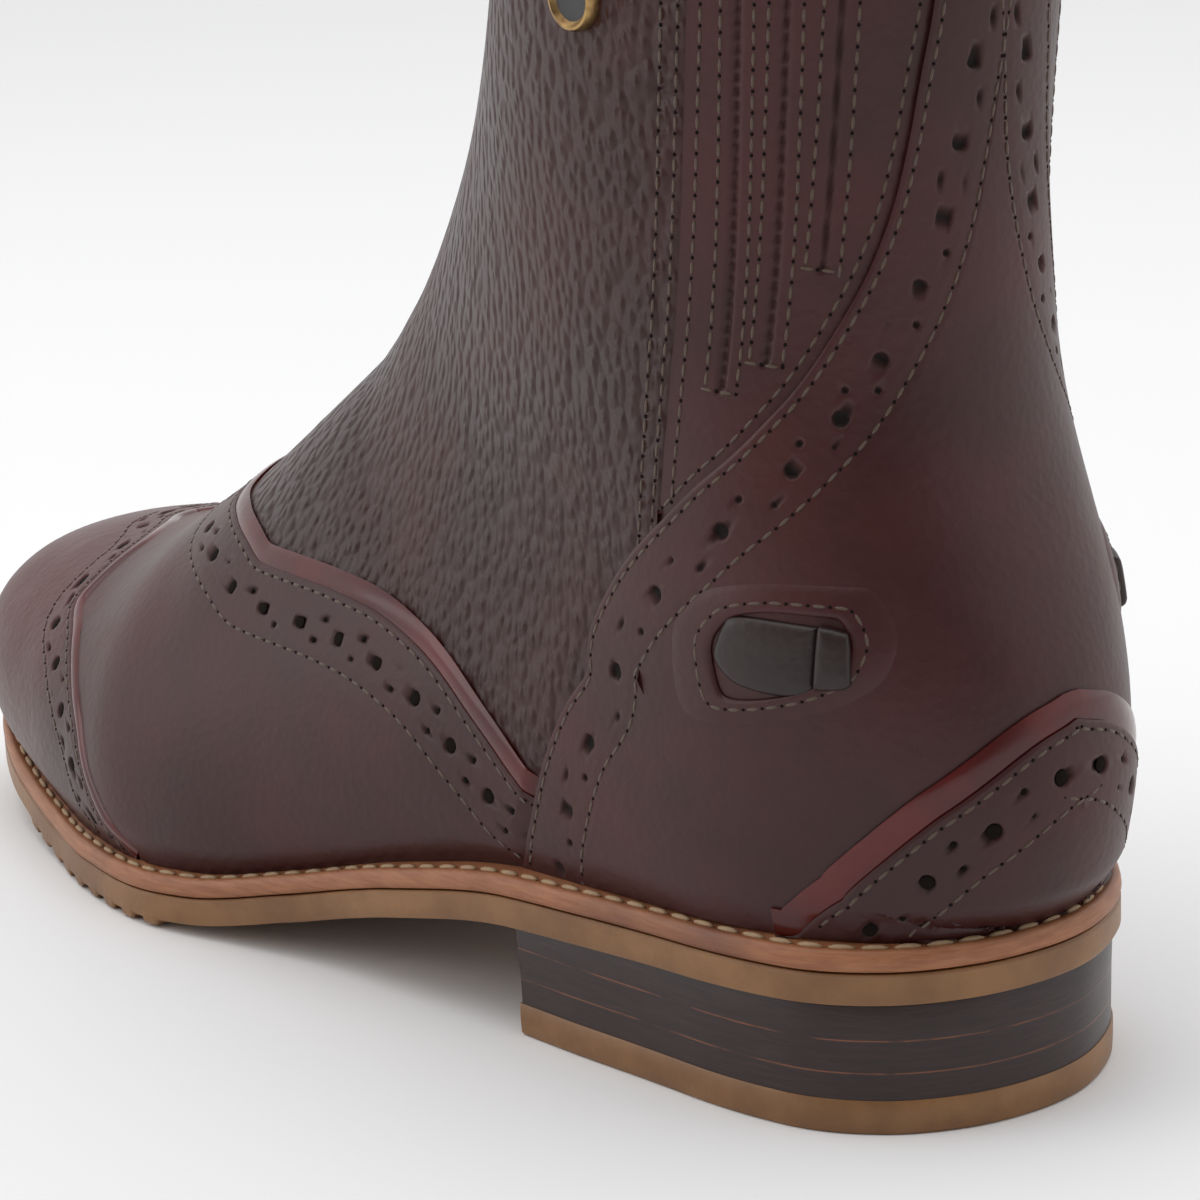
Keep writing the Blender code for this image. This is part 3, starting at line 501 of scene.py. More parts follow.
stack_stain = Look("stacked_lifts")
height = stack_stain.node("ShaderNodeSeparateXYZ", {"Vector": stack_stain.here}).outputs["Z"]
streaks = stack_stain.stretched(14.0)
streak, dust = stack_stain.noise(130.0, 7.0, 0.7, streaks), stack_stain.noise(420.0, 3.0, 0.6, streaks)
stain = stack_stain.blend(stack_stain.ramp(streak, 0.35, 0.75), (0.022, 0.0095, 0.0085),
                          (0.040, 0.019, 0.017))
stain = stack_stain.blend(stack_stain.ramp(dust, 0.77, 0.84), stain, (0.14, 0.045, 0.022))
for line_height in (0.0093, 0.0142):
    near = stack_stain.reckon("ABSOLUTE", stack_stain.reckon("SUBTRACT", height, line_height))
    line = stack_stain.node("ShaderNodeMapRange", {"Value": near}, From_Min=0.00006, From_Max=0.00016,
                            To_Min=1.0, To_Max=0.0).outputs["Result"]
    broken = stack_stain.reckon("MULTIPLY", line, stack_stain.ramp(streak, 0.38, 0.60))
    stain = stack_stain.blend(broken, stain, (0.20, 0.068, 0.028))
stack_stain.finish(stain, stack_stain.bump(streak, 0.5, 0.00012), Roughness=0.34, Coat_Weight=0.10,
                   Coat_Roughness=0.25, Specular_IOR_Level=0.4)

LIFT_PROFILE = ((0.0012, 0.0), (0.0004, 0.02), (0.0001, 0.10), (0.0, 0.5), (0.0, 0.95), (0.0002, 1.0))
STACK_PROFILE = ((0.0003, 0.0), (0.00025, 0.30), (0.0002, 0.60), (0.0, 0.97), (0.0002, 1.0))
lofted("gum_top_lift", heel_block(LIFT_PROFILE, flat_on_floor, lift_top), gum.material,
       "top_lift")
lofted("stacked_heel", heel_block(STACK_PROFILE, lift_top, sole_bottom), stack_stain.material,
       "heel_stack")


# The upper's shell: vegetable tanned cow leather on a soft lining, lasted over the insole and sewn to the
# welt. It wears the plain brown leather; every other leather lies over it.
WELT_SHOW = 0.0038
SEAT_GAP = 0.0005
SHELL_WALL = 0.0020
SHEET_WALL = 0.0009

# The upper's sections, from the toe to the collar. Each runs from its front or top point to its seat or
# back point. Along is a share of the length and up a share of the collar's height. No seat height means
# that it sits on the welt.
FEATHER = WELT_SHOW / LENGTH
Section = namedtuple("Section", "front_along front_up seat_along seat_up half of round widest lean")
SECTIONS = (
    Section(1 - FEATHER, 0.142, 1 - FEATHER, None, 0.000, BALL_WIDTH, 2.1, 0.60, 0.000),
    Section(0.9870, 0.178, 0.9760, None, 0.100, BALL_WIDTH, 2.1, 0.62, 0.000),
    Section(0.9780, 0.209, 0.9600, None, 0.190, BALL_WIDTH, 2.1, 0.65, 0.000),
    Section(0.9560, 0.234, 0.9320, None, 0.280, BALL_WIDTH, 2.1, 0.69, 0.000),
    Section(0.9180, 0.254, 0.8960, None, 0.350, BALL_WIDTH, 2.1, 0.72, 0.000),
    Section(0.8680, 0.269, 0.8500, None, 0.404, BALL_WIDTH, 2.1, 0.74, 0.000),
    Section(0.8150, 0.281, 0.7970, None, 0.440, BALL_WIDTH, 2.1, 0.75, 0.000),
    Section(0.7600, 0.304, 0.7380, None, 0.464, BALL_WIDTH, 2.0, 0.76, -0.010),
    Section(0.7030, 0.345, 0.6720, None, 0.468, BALL_WIDTH, 1.9, 0.78, -0.020),
    Section(0.6530, 0.386, 0.5950, None, 0.432, BALL_WIDTH, 1.8, 0.79, -0.025),
    Section(0.6180, 0.427, 0.5040, None, 0.500, HEEL_WIDTH, 1.75, 0.79, -0.025),
    Section(0.5860, 0.464, 0.4050, None, 0.465, HEEL_WIDTH, 1.7, 0.78, -0.020),
    Section(0.5600, 0.500, 0.2980, None, 0.465, HEEL_WIDTH, 1.7, 0.76, -0.010),
    Section(0.5390, 0.533, 0.1910, None, 0.468, HEEL_WIDTH, 1.7, 0.74, 0.000),
    Section(0.5240, 0.560, 0.0920, None, 0.466, HEEL_WIDTH, 1.7, 0.72, 0.000),
    Section(0.5150, 0.577, 0.0360, None, 0.464, HEEL_WIDTH, 1.7, 0.71, 0.000),
    Section(0.5090, 0.588, FEATHER, None, 0.462, HEEL_WIDTH, 1.7, 0.70, 0.000),
    Section(0.4960, 0.612, 0.0035, 0.190, 0.460, HEEL_WIDTH, 1.75, 0.68, 0.000),
    Section(0.4760, 0.650, -0.0050, 0.262, 0.455, HEEL_WIDTH, 1.8, 0.66, 0.000),
    Section(0.4540, 0.695, 0.0010, 0.343, 0.452, HEEL_WIDTH, 1.85, 0.63, 0.000),
    Section(0.4320, 0.745, 0.0220, 0.430, 0.462, COLLAR_WIDTH, 1.9, 0.60, 0.000),
    Section(0.4110, 0.796, 0.0440, 0.520, 0.464, COLLAR_WIDTH, 1.95, 0.56, 0.000),
    Section(0.3920, 0.846, 0.0520, 0.620, 0.474, COLLAR_WIDTH, 2.0, 0.53, 0.000),
    Section(0.3770, 0.898, 0.0500, 0.730, 0.486, COLLAR_WIDTH, 2.0, 0.51, 0.000),
    Section(0.3670, 0.950, 0.0420, 0.855, 0.495, COLLAR_WIDTH, 2.0, 0.50, 0.000),
    Section(0.3620, 1.000, 0.0350, 0.995, 0.500, COLLAR_WIDTH, 2.0, 0.50, 0.000),
)
CLOSING = 16
COLLAR = len(SECTIONS) - 1


def edge_sides(x, inset):
    """The outer and inner edge of the welt's outline, drawn in by the inset, at a distance from the welt's
    back."""
    loop_x, loop_y = plan_loop(inset, 720)
    toe = int(np.argmax(loop_x))
    heel = int(np.argmin(loop_x))
    order = (np.arange(720) + heel) % 720
    toe_place = int(np.where(order == toe)[0][0])
    first = order[:toe_place + 1]
    second = np.append(order[toe_place:], heel)[::-1]
    return np.interp(x, loop_x[first], loop_y[first]), np.interp(x, loop_x[second], loop_y[second])


def section_sizes(levels):
    """The sections' sizes at the given levels, which count from 0 at the toe and may lie between two
    rows."""
    knots = np.arange(len(SECTIONS))

    def column(values):
        return smooth(levels, knots, values)

    front_x = column([row.front_along * LENGTH for row in SECTIONS])
    seat_x = column([row.seat_along * LENGTH for row in SECTIONS])
    open_below = levels < CLOSING
    outer, inner = edge_sides(seat_x, WELT_SHOW)
    seat_half = np.where(open_below, (outer - inner) / 2, 0.0)
    steady = np.clip((15 - levels) / 5, 0, 1)
    middle = (outer + inner) / 2 * steady * steady * (3 - 2 * steady)
    back_z = column([(row.seat_up or 0.0) * COLLAR_HEIGHT if row.seat_up
                     else welt_top(row.seat_along * LENGTH) + SEAT_GAP for row in SECTIONS])
    seat_z = np.where(open_below, welt_top(seat_x) + SEAT_GAP, back_z)
    front_z = column([row.front_up * COLLAR_HEIGHT for row in SECTIONS])
    toe_rise = np.clip(levels, 0, 1)
    front_z = seat_z * (1 - toe_rise) + front_z * toe_rise
    half = np.maximum(column([row.half * row.of for row in SECTIONS]), seat_half + 0.0008 * toe_rise)
    roundness = column([row.round for row in SECTIONS])
    widest = column([row.widest for row in SECTIONS])
    lean = column([row.lean * row.of for row in SECTIONS]) + middle
    return front_x, front_z, seat_x, seat_z, half, seat_half, roundness, widest, middle, lean


def half_sections(levels):
    """Each level's half section as a fine line: its run from front to seat, its half width and its share of
    length."""
    front_x, front_z, seat_x, seat_z, half, seat_half, roundness, widest, _, _ = (
        value[:, None] for value in section_sizes(levels))
    turn = np.linspace(0, math.pi / 2, 41)[None, :]
    upper_run = widest * (1 - np.cos(turn) ** (2 / roundness))
    upper_half = half * np.sin(turn) ** (2 / roundness)
    sine = np.sin(turn[:, 1:])
    lower_run = widest + (1 - widest) * sine
    tuck = np.where(half > 0, seat_half / np.maximum(half, 1e-9), 0.0)
    lower_half = seat_half + (half - seat_half) * (tuck * (1 - sine ** 2) + (1 - tuck)
                                                   * np.cos(turn[:, 1:]))
    run = np.concatenate([upper_run, lower_run], 1)
    width = np.concatenate([upper_half, lower_half], 1)
    tall = np.hypot(seat_x - front_x, seat_z - front_z)
    piece = np.hypot(np.diff(run, axis=1) * tall, np.diff(width, axis=1))
    share = np.concatenate([np.zeros((len(levels), 1)), np.cumsum(piece, 1)], 1)
    share = share / np.maximum(share[:, -1:], 1e-9)
    return run, width, share


def cubic(t):
    """The weights of four entries at a place between the middle two."""
    return (2 * t * t - t - t ** 3) / 2, (2 - 5 * t * t + 3 * t ** 3) / 2, (t + 4 * t * t - 3 * t
            ** 3) / 2, (t ** 3 - t * t) / 2


def from_net(net, row, column):
    """The values of a net between its entries, each from its four by four neighbours."""
    at_row, at_column = np.floor(row).astype(int), np.floor(column).astype(int)
    found = 0.0
    for step_row, by_row in zip(range(-1, 3), cubic(row - at_row)):
        for step_column, by_column in zip(range(-1, 3), cubic(column - at_column)):
            found = found + (by_row * by_column)[..., None] * net[at_row + step_row,
                                                                  at_column + step_column]
    return found


def side_places(levels, around):
    """Where points lie as seen from the side, and the half width there."""
    front_x, front_z, seat_x, seat_z, *_ = section_sizes(levels)
    run, width, share = half_sections(levels)
    reach = np.abs(around)
    at_run = np.array([np.interp(r, s, v) for r, s, v in zip(reach, share, run)])
    half = np.array([np.interp(r, s, v) for r, s, v in zip(reach, share, width)])
    return front_x + (seat_x - front_x) * at_run, front_z + (seat_z - front_z) * at_run, half, at_run


EVEN_FROM = 7
EVEN_REACH = 0.011
EVEN_STEP = 0.0025
EVEN_X = np.arange(-0.010, 0.215, EVEN_STEP)
EVEN_Z = np.arange(0.010, 0.190, EVEN_STEP)


def even_halves():
    """The half width over a net seen from the side, evened so that no ridge shows where they turn.

    Each entry is a quadratic fitted to the squares of the half widths within a short reach.
    """
    levels, around = np.meshgrid(np.arange(EVEN_FROM - 1, COLLAR + 0.01, 0.25), np.linspace(0, 1, 31),
                                 indexing="ij")
    x, z, half, _ = side_places(levels.ravel(), around.ravel())
    across = x.reshape(levels.shape), z.reshape(levels.shape)
    area = np.abs(np.gradient(across[0], axis=0) * np.gradient(across[1], axis=1)
                  - np.gradient(across[1], axis=0) * np.gradient(across[0], axis=1)).ravel()
    net = np.zeros((len(EVEN_X), len(EVEN_Z)))
    for i, at_x in enumerate(EVEN_X):
        for j, at_z in enumerate(EVEN_Z):
            dx = (x - at_x) / EVEN_REACH
            dz = (z - at_z) / EVEN_REACH
            weight = np.exp(-(dx * dx + dz * dz) / 2) * (area + 1e-12)
            near = weight > weight.max() * 1e-5
            dx, dz = dx[near], dz[near]
            base = np.stack([np.ones(len(dx)), dx, dz, dx * dx, dz * dz, dx * dz], 1)
            pull = base * weight[near][:, None]
            net[i, j] = np.linalg.lstsq(base.T @ pull, pull.T @ (half[near] ** 2), rcond=1e-7)[0][0]
    return net


EVEN_NET = even_halves()


def evened(levels, around, x, z, half):
    """The half widths, taken from the even net over the ankle and from the sections near every edge."""
    row = np.clip((x - EVEN_X[0]) / EVEN_STEP, 1, len(EVEN_X) - 2.001)
    column = np.clip((z - EVEN_Z[0]) / EVEN_STEP, 1, len(EVEN_Z) - 2.001)
    fitted = from_net(EVEN_NET[..., None], row, column)[..., 0]
    reach = np.abs(around)
    amount = 1.0
    for share in (reach / 0.07, (0.98 - reach) / 0.12, (levels - EVEN_FROM) / 3, (COLLAR - levels) / 2):
        share = np.clip(share, 0, 1)
        amount = amount * share * share * (3 - 2 * share)
    return half + amount * (np.sqrt(np.maximum(fitted, 0.25 * half ** 2)) - half)


def upper_points(levels, around):
    """Points of the upper's outer face. Around runs from -1 at the inner seat over 0 at the front to 1
    outside."""
    levels = np.asarray(levels, float)
    around = np.asarray(around, float)
    flat_levels = levels.ravel()
    flat_around = around.ravel()
    *_, middle, lean = section_sizes(flat_levels)
    x, z, half, run = side_places(flat_levels, flat_around)
    half = evened(flat_levels, flat_around, x, z, half)
    y = lean + (middle - lean) * run + np.sign(flat_around) * half
    return np.stack([x, y, z], 1).reshape(levels.shape + (3,))


def on_side(along, up):
    """The level and place around of a point of the outer side, given as seen from the side in metres."""
    levels = np.linspace(0.3, COLLAR, 1201)
    front_x, front_z, seat_x, seat_z, *_ = section_sizes(levels)
    dx = seat_x - front_x
    dz = seat_z - front_z
    run, _, share = half_sections(levels)
    found = []
    for x, z in zip(along, up):
        miss = dx * (z - front_z) - dz * (x - front_x)
        part = ((x - front_x) * dx + (z - front_z) * dz) / (dx * dx + dz * dz)
        near = np.abs(miss) / np.hypot(dx, dz) + 10 * np.maximum(np.abs(part - 0.5) - 0.52, 0)
        best = int(np.argmin(near))
        found.append((levels[best], np.interp(np.clip(part[best], 0, 1), run[best], share[best])))
    return np.array(found)


ROW_FIRST, ROW_LAST, ROW_COUNT = 0.1, 25.2488, 506
COLUMN_COUNT = 241
ROW_STEP = (ROW_LAST - ROW_FIRST) / (ROW_COUNT - 1)
row_levels = (-0.5 + np.sqrt(0.25 + 4 * np.linspace(ROW_FIRST, ROW_LAST, ROW_COUNT) ** 2)) / 2
row_levels[-1] = COLLAR
column_places = np.linspace(-1, 1, COLUMN_COUNT)


def ease(value):
    value = np.clip(value, 0, 1)
    return value * value * (3 - 2 * value)


def section_length(levels):
    """The length of each level's half section from its front to its seat."""
    front_x, front_z, seat_x, seat_z, *_ = section_sizes(levels)
    run, width, _ = half_sections(levels)
    tall = np.hypot(seat_x - front_x, seat_z - front_z)[:, None]
    return np.hypot(np.diff(run, axis=1) * tall, np.diff(width, axis=1)).sum(1)


# Places around are shares of a length that changes evenly from level to level. The true length of a section
# falls fast just ahead of the heel's back, so there the welt is reached at a place below 1.
EVEN_LOW, EVEN_HIGH = 11.0, CLOSING
hem_levels = np.concatenate([np.linspace(0.02, 15.5, 600),
                             CLOSING - np.linspace(0.5 ** 0.5, 0.001, 300) ** 2, [CLOSING]])
true_lengths = section_length(hem_levels)
end_lengths = section_length(np.array([EVEN_LOW, EVEN_LOW + 0.1, EVEN_HIGH + 0.001, EVEN_HIGH + 0.101]))
even_share = np.clip((hem_levels - EVEN_LOW) / (EVEN_HIGH - EVEN_LOW), 0, 1)
low_slope = (end_lengths[1] - end_lengths[0]) / 0.1 * (EVEN_HIGH - EVEN_LOW)
high_slope = (end_lengths[3] - end_lengths[2]) / 0.1 * (EVEN_HIGH - EVEN_LOW)
bend = end_lengths[2] - end_lengths[0]
even_lengths = end_lengths[0] + even_share * (low_slope + even_share * (
    3 * bend - 2 * low_slope - high_slope + even_share * (low_slope + high_slope - 2 * bend)))
hem_places = np.where(hem_levels < EVEN_LOW, 1.0, true_lengths / even_lengths)


def welt_place(levels):
    """The place around at which each level meets the welt, or the back's middle above the heel."""
    return np.where(np.asarray(levels) >= CLOSING, 1.0, np.interp(levels, hem_levels, hem_places))


def padded_net(net):
    """A net with two more rows and columns on every side; above the heel its columns go on round the
    back."""
    before = 2 * net[:, :1] - net[:, 2:0:-1]
    after = 2 * net[:, -1:] - net[:, -2:-4:-1]
    closed = (row_levels >= CLOSING)[:, None, None]
    before = np.where(closed, net[:, -3:-1], before)
    after = np.where(closed, net[:, 1:3], after)
    net = np.concatenate([before, net, after], 1)
    return np.concatenate([2 * net[:1] - net[2:0:-1], net, 2 * net[-1:] - net[-2:-4:-1]], 0)


net_levels, net_places = np.meshgrid(row_levels, column_places, indexing="ij")
net_shares = net_places / welt_place(net_levels)
past_welt = np.abs(net_shares) - np.clip(np.abs(net_shares), 0, 1)
at_welt = upper_points(net_levels, np.clip(net_shares, -1, 1))
near_welt = upper_points(net_levels, np.clip(net_shares, -1, 1) * 0.96)
skin_net = padded_net(at_welt + (at_welt - near_welt) / 0.04 * past_welt[..., None])
lie_net = np.cross(np.gradient(skin_net, axis=1), np.gradient(skin_net, axis=0))
lie_net = lie_net / np.linalg.norm(lie_net, axis=2, keepdims=True)
place_and_lie = np.concatenate([skin_net, lie_net], 2)
TUCK, TUCK_HEIGHT = 0.40, 0.0065
hem_slope = (skin_net[:, -3] - skin_net[:, -7]) / (8 / (COLUMN_COUNT - 1))


def skin(levels, around, rise=0.0):
    """Points at a rise above the upper's skin. A place around past 1 goes on round the back, or straight on
    below the hem."""
    levels, around, rise = np.broadcast_arrays(*(np.asarray(v, float) for v in (levels, around, rise)))
    levels = np.clip(levels, row_levels[0], COLLAR)
    over = np.where(levels >= CLOSING, 0, np.maximum(around - 1, 0))
    around = np.where(levels >= CLOSING, (around + 1) % 2 - 1, np.clip(around, -1, 1))
    row = np.clip((np.sqrt(levels * (levels + 0.5)) - ROW_FIRST) / ROW_STEP, 0, ROW_COUNT - 1.0001) + 2
    column = np.clip((around + 1) / 2 * (COLUMN_COUNT - 1), 0, COLUMN_COUNT - 1.0001) + 2
    found = from_net(place_and_lie, row, column)
    lie = found[..., 3:] / np.linalg.norm(found[..., 3:], axis=-1, keepdims=True)
    place = found[..., :3] + over[..., None] * hem_slope[np.floor(row).astype(int)]
    height = place[..., 2] - welt_top(place[..., 0]) - SEAT_GAP
    return place + lie * (rise * (TUCK + (1 - TUCK) * ease(height / TUCK_HEIGHT)))[..., None], lie


def run_of(line):
    """The length of a line over the skin up to each of its points."""
    return run_along(skin(*line.T)[0])


def evenly(line, count=700):
    """A line of levels and places around, drawn smoothly through its points and spaced evenly over the
    skin."""
    line = np.asarray(line, float)
    for _ in range(2):
        knots = run_of(line)
        at = np.linspace(0, knots[-1], count)
        line = np.stack([smooth(at, knots, column) for column in line.T], 1)
    return line


def beside(line, distances):
    """Lines beside a line, at rising distances over the skin on its left as it is seen from outside.

    Every point walks straight over the skin, in the direction square to the line where it set out.
    """
    place, lie = skin(*line.T)
    ahead = np.gradient(place, axis=0)
    reach = max(3, int(0.0025 / np.linalg.norm(ahead, axis=1).mean()))
    ahead = np.stack([np.convolve(np.pad(v, reach, mode="edge"), np.ones(2 * reach + 1) / (2 * reach + 1),
                                  "valid") for v in ahead.T], 1)
    way = np.cross(lie, ahead)
    done, made = 0.0, []
    for distance in distances:
        steps = max(1, int(np.ceil(abs(distance - done) / 0.0012)))
        for _ in range(steps if distance != done else 0):
            place, lie = skin(*line.T)
            way = way - lie * (way * lie).sum(1, keepdims=True)
            way = way / np.maximum(np.linalg.norm(way, axis=1, keepdims=True), 1e-12)
            goal = place + way * (distance - done) / steps
            for _ in range(4):
                by_level = (skin(line[:, 0] + 0.01, line[:, 1])[0] - skin(line[:, 0] - 0.01,
                                                                          line[:, 1])[0]) / 0.02
                by_around = (skin(line[:, 0], line[:, 1] + 0.002)[0] - skin(line[:, 0],
                        line[:, 1] - 0.002)[0]) / 0.004
                step = goal - skin(*line.T)[0]
                a, b, c = (by_level ** 2).sum(1), (by_level * by_around).sum(1), (by_around ** 2).sum(1)
                p, q = (by_level * step).sum(1), (by_around * step).sum(1)
                base = np.maximum(a * c - b * b, 1e-14)
                move = np.stack([(p * c - q * b) / base, (a * q - b * p) / base], 1)
                line = line + np.clip(move, (-0.4, -0.05), (0.4, 0.05))
            line[:, 0] = np.clip(line[:, 0], row_levels[0], COLLAR)
        done = distance
        made.append(line)
    return np.array(made)


def pick(line, lengths):
    """The places on a line at given lengths along it."""
    return spaced(lengths, run_of(line), line)


def on_welt(line):
    """A line whose places are moved to the welt, or to the back's middle above the heel."""
    return np.stack([line[:, 0], welt_place(line[:, 0])], 1)


def welt_line(levels, count=400):
    """A line along the welt and the back's middle through the given levels, evenly spaced."""
    fine = np.interp(np.linspace(0, 1, 3000), np.linspace(0, 1, len(levels)), levels)
    line = on_welt(np.stack([fine, fine], 1))
    run = run_of(line)
    at = np.linspace(0, run[-1], count)
    return on_welt(np.stack([np.interp(at, run, line[:, 0])] * 2, 1))


whole_welt = welt_line([CLOSING, 0.1], 1600)
whole_welt_points = skin(*whole_welt.T)[0]


def mirrored(net):
    return net * np.array([1, -1])


def add_sheet(shape, net, rise, pit=None, trim=True):
    """Adds a grid of leather to a mesh: its net of levels and places around, its rise and the painted shade
    of its holes and slits."""
    hole_shade_layer = shape.verts.layers.float.get("HoleShade") or shape.verts.layers.float.new("HoleShade")
    points, lie = skin(net[..., 0], net[..., 1], rise)
    values = np.zeros(points.shape[:2]) if pit is None else pit
    ends = (np.abs(net[..., 1]) > welt_place(net[..., 0]) - 0.0001) & trim
    facing = np.cross(np.diff(points, axis=1)[:-1], np.diff(points, axis=0)[:, :-1])
    if (facing * lie[:-1, :-1]).sum() < 0:
        points, values, ends = points[:, ::-1], values[:, ::-1], ends[:, ::-1]
    rows, columns = points.shape[:2]
    made = bmesh.ops.create_grid(shape, x_segments=columns - 1, y_segments=rows - 1, size=1.0)["verts"]
    spent = set()
    for vertex in made:
        i, j = round((vertex.co.y + 1) / 2 * (rows - 1)), round((vertex.co.x + 1) / 2 * (columns - 1))
        vertex[hole_shade_layer] = values[i, j]
        vertex.co = points[i, j]
        if ends[i, j]:
            spent.add(vertex)
    flat = {face for vertex in spent for face in vertex.link_faces if spent.issuperset(face.verts)}
    bmesh.ops.delete(shape, geom=list(flat), context="FACES_ONLY")
    bmesh.ops.delete(shape, geom=[vertex for vertex in spent if not vertex.link_faces], context="VERTS")


def leather_piece(name, shape, material, nodes, wall=SHEET_WALL, join=2e-5):
    """Finishes a sheet of leather and gives it its wall, which grows inwards from the face that shows."""
    bmesh.ops.remove_doubles(shape, verts=shape.verts, dist=join)
    bmesh.ops.dissolve_degenerate(shape, edges=shape.edges, dist=1e-6)
    materials = material if isinstance(material, list) else [material]
    piece = finish_piece(name, shape, materials, nodes, 60)
    grow = piece.modifiers.new("wall", "SOLIDIFY")
    grow.thickness = wall
    grow.offset = -1
    grow.use_quality_normals = True
    grow.material_offset = len(materials) - 1
    return piece


HOLE_EDGE, HOLE_SLOPE, HOLE_SHADE_SLOPE = 0.00022, 0.00055, 0.00050


def punched(points, holes):
    """How deep a sheet is at its points and its painted shade there, for a table of hole centres, radii and
    depths.
    """
    drop, pit = np.zeros(points.shape[:2]), np.zeros(points.shape[:2])
    for centre, radius, depth in holes:
        away = np.linalg.norm(points - centre, axis=-1)
        drop = np.maximum(drop, depth * ease((radius + HOLE_EDGE - away) / HOLE_SLOPE))
        # The second mask is painted shade that darkens each hole in the material.
        pit = np.maximum(pit, ease((radius + HOLE_EDGE - away) / HOLE_SHADE_SLOPE))
    return drop, pit


def leather_look(name, dark, light, red, grain, rough, tumble=False):
    """Full grain leather: cloudy colour, painted shade in holes and slits, fine pores and creases, and a
    soft wax gloss.
    """
    look = Look(name)
    cloud, blotch = look.noise(26.0, 7.0, 0.62), look.noise(9.0, 4.0, 0.55)
    pores = look.node("ShaderNodeTexVoronoi", {"Vector": look.here}, Scale=grain,
                      Randomness=1.0).outputs["Distance"]
    colour = look.blend(look.ramp(cloud, 0.34, 0.70), dark, light)
    colour = look.blend(look.ramp(blotch, 0.50, 0.72), colour, red)
    pit = look.node("ShaderNodeAttribute", attribute_name="HoleShade").outputs["Fac"]
    uneven = look.node("ShaderNodeMapRange", {"Value": cloud}, From_Min=0.3, From_Max=0.75,
                       To_Min=rough - 0.07, To_Max=rough + 0.09).outputs["Result"]
    look.tree.links.new(look.reckon("ADD", uneven, pit), look.shader.inputs["Roughness"])
    last = look.bump(look.noise(1500.0, 3.0, 0.7), 0.3, 0.00008, look.bump(pores, 0.35, 0.00016))
    if tumble:
        drawn = look.stretched(0.62)
        lumps = look.node("ShaderNodeTexVoronoi", {"Vector": drawn}, feature="SMOOTH_F1", Scale=560.0,
                          Smoothness=0.5)
        last = look.bump(lumps.outputs["Distance"], 0.9, 0.0011, last, invert=True)
        last = look.bump(look.noise(170.0, 5.0, 0.6, drawn), 0.45, 0.0009, last)
    else:
        lines = look.noise(110.0, 5.0, 0.62, look.stretched(1.8, Rotation=(0.3, 0.5, 0.2)), Distortion=0.8)
        last = look.bump(look.reckon("MULTIPLY", lines, look.ramp(blotch, 0.42, 0.66)), 0.35, 0.0008, last)
    # Painted shade darkens the punched holes and the gore slits to near black.
    return look.finish(look.blend(pit, colour, (0.008, 0.005, 0.004)), last, Coat_Weight=0.08,
                       Coat_Roughness=0.30, Specular_IOR_Level=0.34)


brown = leather_look("brown_leather", (0.036, 0.0075, 0.0068), (0.060, 0.0125, 0.0105),
                     (0.076, 0.0135, 0.0095), 620.0, 0.43)
tumbled = leather_look("tumbled_leather", (0.028, 0.0062, 0.0054), (0.046, 0.0105, 0.0088),
                       (0.052, 0.0098, 0.0074), 620.0, 0.42, True)
lining = leather_look("tan_lining", (0.20, 0.11, 0.060), (0.28, 0.165, 0.09), (0.22, 0.12, 0.06), 520.0,
                      0.62)
pad_black = leather_look("pad_leather", (0.018, 0.011, 0.011), (0.032, 0.018, 0.016), (0.030, 0.016, 0.013),
                         700.0, 0.36)

shell_shape = bmesh.new()
shell_levels = np.concatenate([[0.02, 0.05, 0.12, 0.2], np.arange(0.3, 1, 0.12), np.arange(1, 15.7, 0.16),
                               [15.75, 15.88, 15.95, 15.985, CLOSING], np.linspace(16.15, COLLAR, 56)])
shell_net = np.stack(np.meshgrid(shell_levels, np.linspace(-1, 1, 161), indexing="ij"), 2)
shell_net[..., 1] *= welt_place(shell_levels)[:, None]
add_sheet(shell_shape, shell_net, 0.0)
leather_piece("upper_shell", shell_shape, [brown, lining], ["upper"], SHELL_WALL)
insole = next(thing for thing in bpy.data.objects
              if thing.type == "MESH" and thing.name.split(".")[0] == "insole")
insole.data.materials.clear()
insole.data.materials.append(lining)


# The seams, as lines over the skin of the outer side from their upper or front ends down to the welt. Each
# was read off the photograph; the inner side mirrors them.
Place = namedtuple("Place", "level around")
CAP_EDGE = (Place(5.50, 0.0), Place(5.60, 0.07), Place(5.98, 0.150), Place(6.36, 0.28), Place(6.40, 0.393),
            Place(6.38, 0.472), Place(6.84, 0.573), Place(7.29, 0.670), Place(7.66, 0.762),
            Place(7.84, 0.835), Place(8.12, 0.915), Place(8.49, 1.0))
VAMP_FRONT = (Place(9.00, 0.0), Place(9.08, 0.10), Place(9.25, 0.203), Place(9.72, 0.285),
              Place(10.18, 0.353))
# Heel-back sizes in millimetres, as seen from the side
VAMP_SIDE = ((145.4, 61.3), (129.5, 61.0), (115.3, 59.9), (107.8, 58.2), (98.0, 55.0), (87.7, 48.7),
             (81.4, 44.5), (76.9, 40.9), (73.1, 38.6), (66.0, 34.6), (57.0, 30.4), (50.0, 28.6))
QUARTER_SIDE = ((11.5, 181.8), (11.9, 170.0), (12.8, 157.5), (14.2, 149.1), (15.7, 138.3), (17.4, 128.7),
                (19.6, 120.1), (22.2, 113.0), (26.4, 104.0), (31.9, 96.9), (39.2, 90.3), (45.7, 83.7),
                (51.2, 79.1), (56.2, 72.6), (60.9, 66.6), (63.1, 61.1), (67.2, 52.5), (71.6, 42.4),
                (74.1, 35.5), (76.4, 28.5), (77.6, 25.2))
PANEL_SIDE = ((34.1, 181.8), (36.2, 158.4), (38.2, 140.3), (40.0, 124.2), (42.4, 103.1), (43.7, 88.8),
              (44.4, 80.0))
COUNTER_SIDE = ((6.0, 48.0), (12.2, 40.9), (18.9, 33.4), (22.7, 28.7), (24.2, 26.4))


